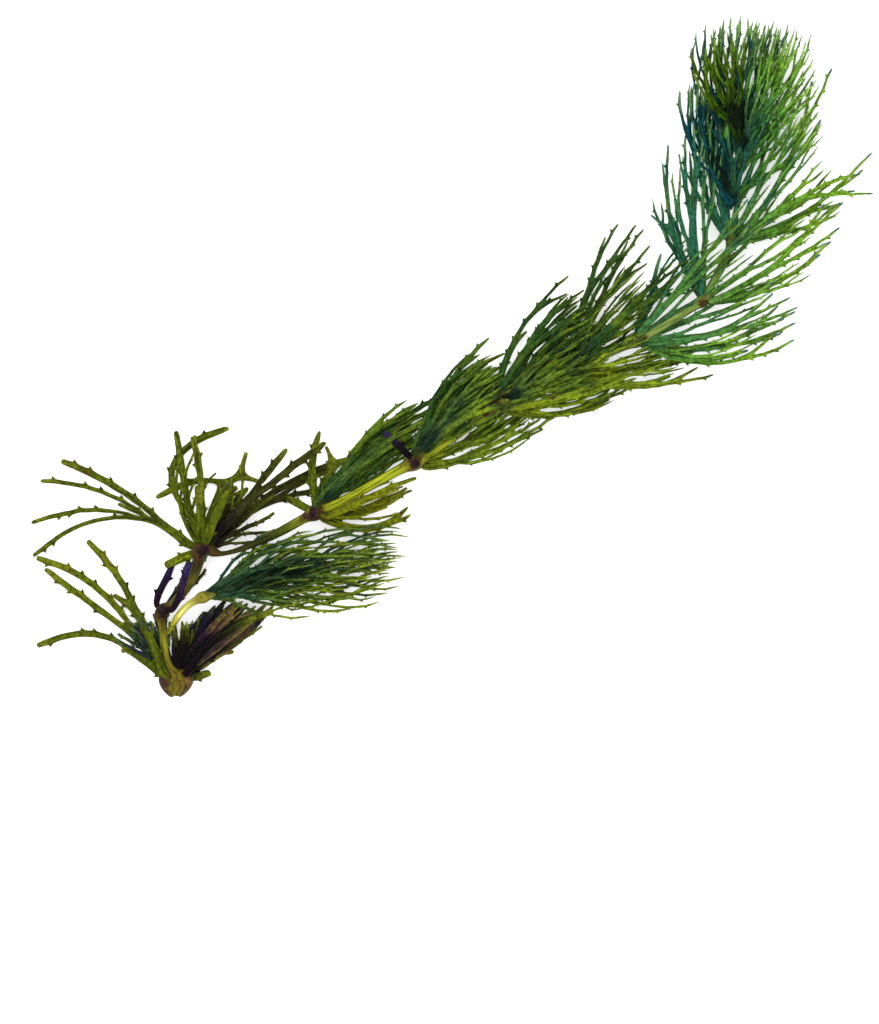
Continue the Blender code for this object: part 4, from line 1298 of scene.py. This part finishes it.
GROWN = LeafLook(
    "grown hornwort leaf",
    [(0.0, "#6E720C"), (0.3, "#8C9E1A"), (0.8, "#829A20"), (1.0, "#7E962E")],
    other="#34581E", tip="#647E22", deep="#2A5430", darkest="#142E20",
    layers=(2.6, 6.4), specks=0.02, edge=0.8,
)
LOOKS = {
    "old": LeafLook(
        "old hornwort leaf",
        [(0.0, "#3E261E"), (0.1, "#5A560E"), (0.22, "#747C0A"), (0.7, "#80880C"), (1.0, "#86841E")],
        other="#5A6608", tip="#7C8020", deep="#465208", darkest="#2E3A0E",
        layers=(3.2, 8.0), specks=0.06, edge=0.85,
    ),
    # A darker, bluer copy of the old look, which paints in the shade on old leaves that lie deep in the
    # tangle at whorl 1
    "tangled_in_shade": LeafLook(
        "old hornwort leaf in painted shade where it lies deep",
        [(0.0, "#3A2A2E"), (0.3, "#34502E"), (0.7, "#4A6622"), (1.0, "#5E7422")],
        other="#282A40", tip="#5E7A2A", deep="#143A38", darkest="#0C1420",
        layers=(1.5, 5.0),
    ),
    "dying": LeafLook(
        "dying hornwort leaf",
        [(0.0, "#260A12"), (0.3, "#2A1018"), (0.55, "#464A0E"), (1.0, "#66720C")],
        other="#3E4210", tip="#727A16", deep="#1E0816", darkest="#10040C",
        layers=(0.8, 3.0), specks=0.03, edge=0.85,
    ),
    "bruised": LeafLook(
        "dead stub of a hornwort leaf",
        [(0.0, "#280C14"), (0.4, "#2C1430"), (1.0, "#3A2A66")],
        other="#100818", tip="#38285A", deep="#200C20", darkest="#0C040E",
        layers=(4.0, 8.0),
    ),
    "decayed": LeafLook(
        "decayed hornwort leaf",
        [(0.0, "#7A6A2A"), (0.3, "#746026"), (0.6, "#7A5648"), (1.0, "#8A7838")],
        other="#120C34", tip="#8A7A3E", deep="#301638", darkest="#06040E",
        layers=(3.0, 9.0), patches=2.4, specks=0.08, rows=6.0,
    ),
    "sodden": LeafLook(
        "sodden hornwort leaf",
        [(0.0, "#4E4620"), (0.4, "#2E2624"), (0.7, "#241C30"), (1.0, "#1E1A34")],
        other="#08082A", tip="#34301C", deep="#100A22", darkest="#04030A",
        layers=(2.5, 7.0), patches=1.6, rows=6.0,
    ),
    "grown": GROWN,
    # The bundled look is the grown one, with its painted shade starting only under more layers
    "bundled": replace(GROWN, name="grown hornwort leaf in a thin bundle", layers=(4.2, 9.0)),
    "young": LeafLook(
        "young hornwort leaf",
        [(0.0, "#7AA044"), (0.15, "#5A9038"), (0.5, "#6A9E30"), (0.8, "#84B426"), (1.0, "#98BE50")],
        other="#2C7052", tip="#94B860", deep="#145A48", darkest="#062E30",
        layers=(2.4, 5.0), hairs=1.0,
    ),
    "brush": LeafLook(
        "youngest hornwort leaf",
        [(0.0, "#4E6E04"), (0.25, "#3A7A30"), (0.55, "#68A836"), (0.8, "#8ABE3E"), (1.0, "#A8CE74")],
        other="#044850", tip="#98C468", deep="#034446", darkest="#021A14",
        layers=(2.2, 4.4), hairs=1.0, patches=1.15,
    ),
    "olive": LeafLook(
        "youngest hornwort leaf, yellowed",
        [(0.0, "#0C2E18"), (0.4, "#1E4A10"), (0.6, "#5E7A08"), (1.0, "#80A412")],
        other="#3E6204", tip="#80A83A", deep="#2E4A04", darkest="#0A1C04",
        layers=(2.6, 5.4),
    ),
    "side": LeafLook(
        "side shoot leaf",
        [(0.0, "#3E5420"), (0.45, "#56701A"), (0.8, "#7E920E"), (1.0, "#98A63A")],
        other="#225240", tip="#98A834", deep="#1E4434", darkest="#0C2014",
        layers=(2.0, 4.6), patches=0.8,
    ),
}

# The looks of young leaves
YOUNG_LOOKS = ("young", "brush", "olive", "side")

# The skin of each whorl's leaves, and of the leaves that look unlike the rest of their whorl
WHORL_SKINS = {
    "whorl1": "old",
    "whorl2": "bruised",
    "whorl3": "old",
    "whorl4": "old",
    "whorl5": "grown",
    "whorl6": "grown",
    "whorl7": "grown",
    "whorl8": "young",
    "whorl9": "young",
    "whorl10": "young",
}
UNLIKE_LEAVES = {
    "whorl4_first_leaf": "bundled",
    "whorl4_second_leaf": "bundled",
    "whorl4_third_leaf": "bundled",
    "whorl1_east_upper_leaf": "dying",
    "whorl1_east_lower_leaf": "dying",
    "whorl1_east_stub": "dying",
    "whorl3_east_upper_leaf": "dying",
    "whorl3_east_lower_leaf": "dying",
    "whorl3_torn_leaf": "dying",
    "whorl5_stub": "bruised",
}

# The colour of the main stem from the cut end to the tip, and of the side stem
MAIN_STEM_AGES = [
    (0.00, "#6A5416"), (0.05, "#84841A"), (0.09, "#5A5212"), (0.14, "#6A6414"), (0.17, "#2A160A"),
    (0.20, "#42390C"), (0.25, "#30360A"), (0.29, "#464D0A"), (0.34, "#A4AC1C"), (0.50, "#9CA61A"),
    (0.60, "#86982A"), (0.78, "#90A656"), (1.00, "#4E7424"),
]
SIDE_STEM_AGES = [
    (0.0, "#6C6A0C"), (0.15, "#7E7812"), (0.3, "#B0AA2A"), (0.48, "#DCD872"), (0.66, "#C8C25C"),
    (0.78, "#7E7226"), (1.0, "#6A6A2A"),
]

# The colours of the cut end from its left to its right
CUT_END_COLOURS = [
    (0.00, "#2A1028"), (0.22, "#4E3034"), (0.32, "#746E22"), (0.46, "#807E20"), (0.50, "#4E7026"),
    (0.56, "#746624"), (0.80, "#86642A"), (1.00, "#766A2A"),
]


def make_plant():
    chance = random.Random(SEED)
    thorn = make_thorn()
    skins = {kind: leaf_skin(look) for kind, look in LOOKS.items()}
    main_skin = stem_skin("hornwort stem skin", MAIN_STEM_AGES, "#463010", "#1A0A12")
    end_skin = stem_skin("cut end of a hornwort stem", CUT_END_COLOURS, "#3E221A", "#2A1420")
    side_skin = stem_skin("side stem skin", SIDE_STEM_AGES, "#8A8228", "#5E5418")
    pieces = [
        make_stem("main_stem", JOINTS["whorl1"], main_skin),
        make_stem("side_stem", FORK, side_skin),
        *make_leaves(skins, thorn, chance),
    ]
    lobes = cut_end()
    dress(lobes, end_skin, "stem")
    patterns = {
        kind: [forked_leaf(f"{kind}_leaf_{i}", form, thorn) for i, form in enumerate(forms)]
        for kind, forms in PATTERNS.items()
    }
    patterns["withered"] = [withered_leaf(f"withered_leaf_{seed}", seed) for seed in range(WITHERED_COUNT)]
    for name, bunch in BUNCHES.items():
        piece = fan_of_leaves(name, bunch.fans, patterns[bunch.pattern], chance)
        slot = "young_leaf" if bunch.skin in YOUNG_LOOKS else "old_leaf"
        dress(piece, skins[bunch.skin], slot, *bunch.stands_for)
        pieces.append(piece)
    store_layers(pieces)
    for pattern in (thorn, *sum(patterns.values(), [])):
        bpy.data.objects.remove(pattern, do_unlink=True)


make_camera()
make_floor()
make_light()
make_plant()
bpy.context.scene.view_settings.view_transform = "Standard"
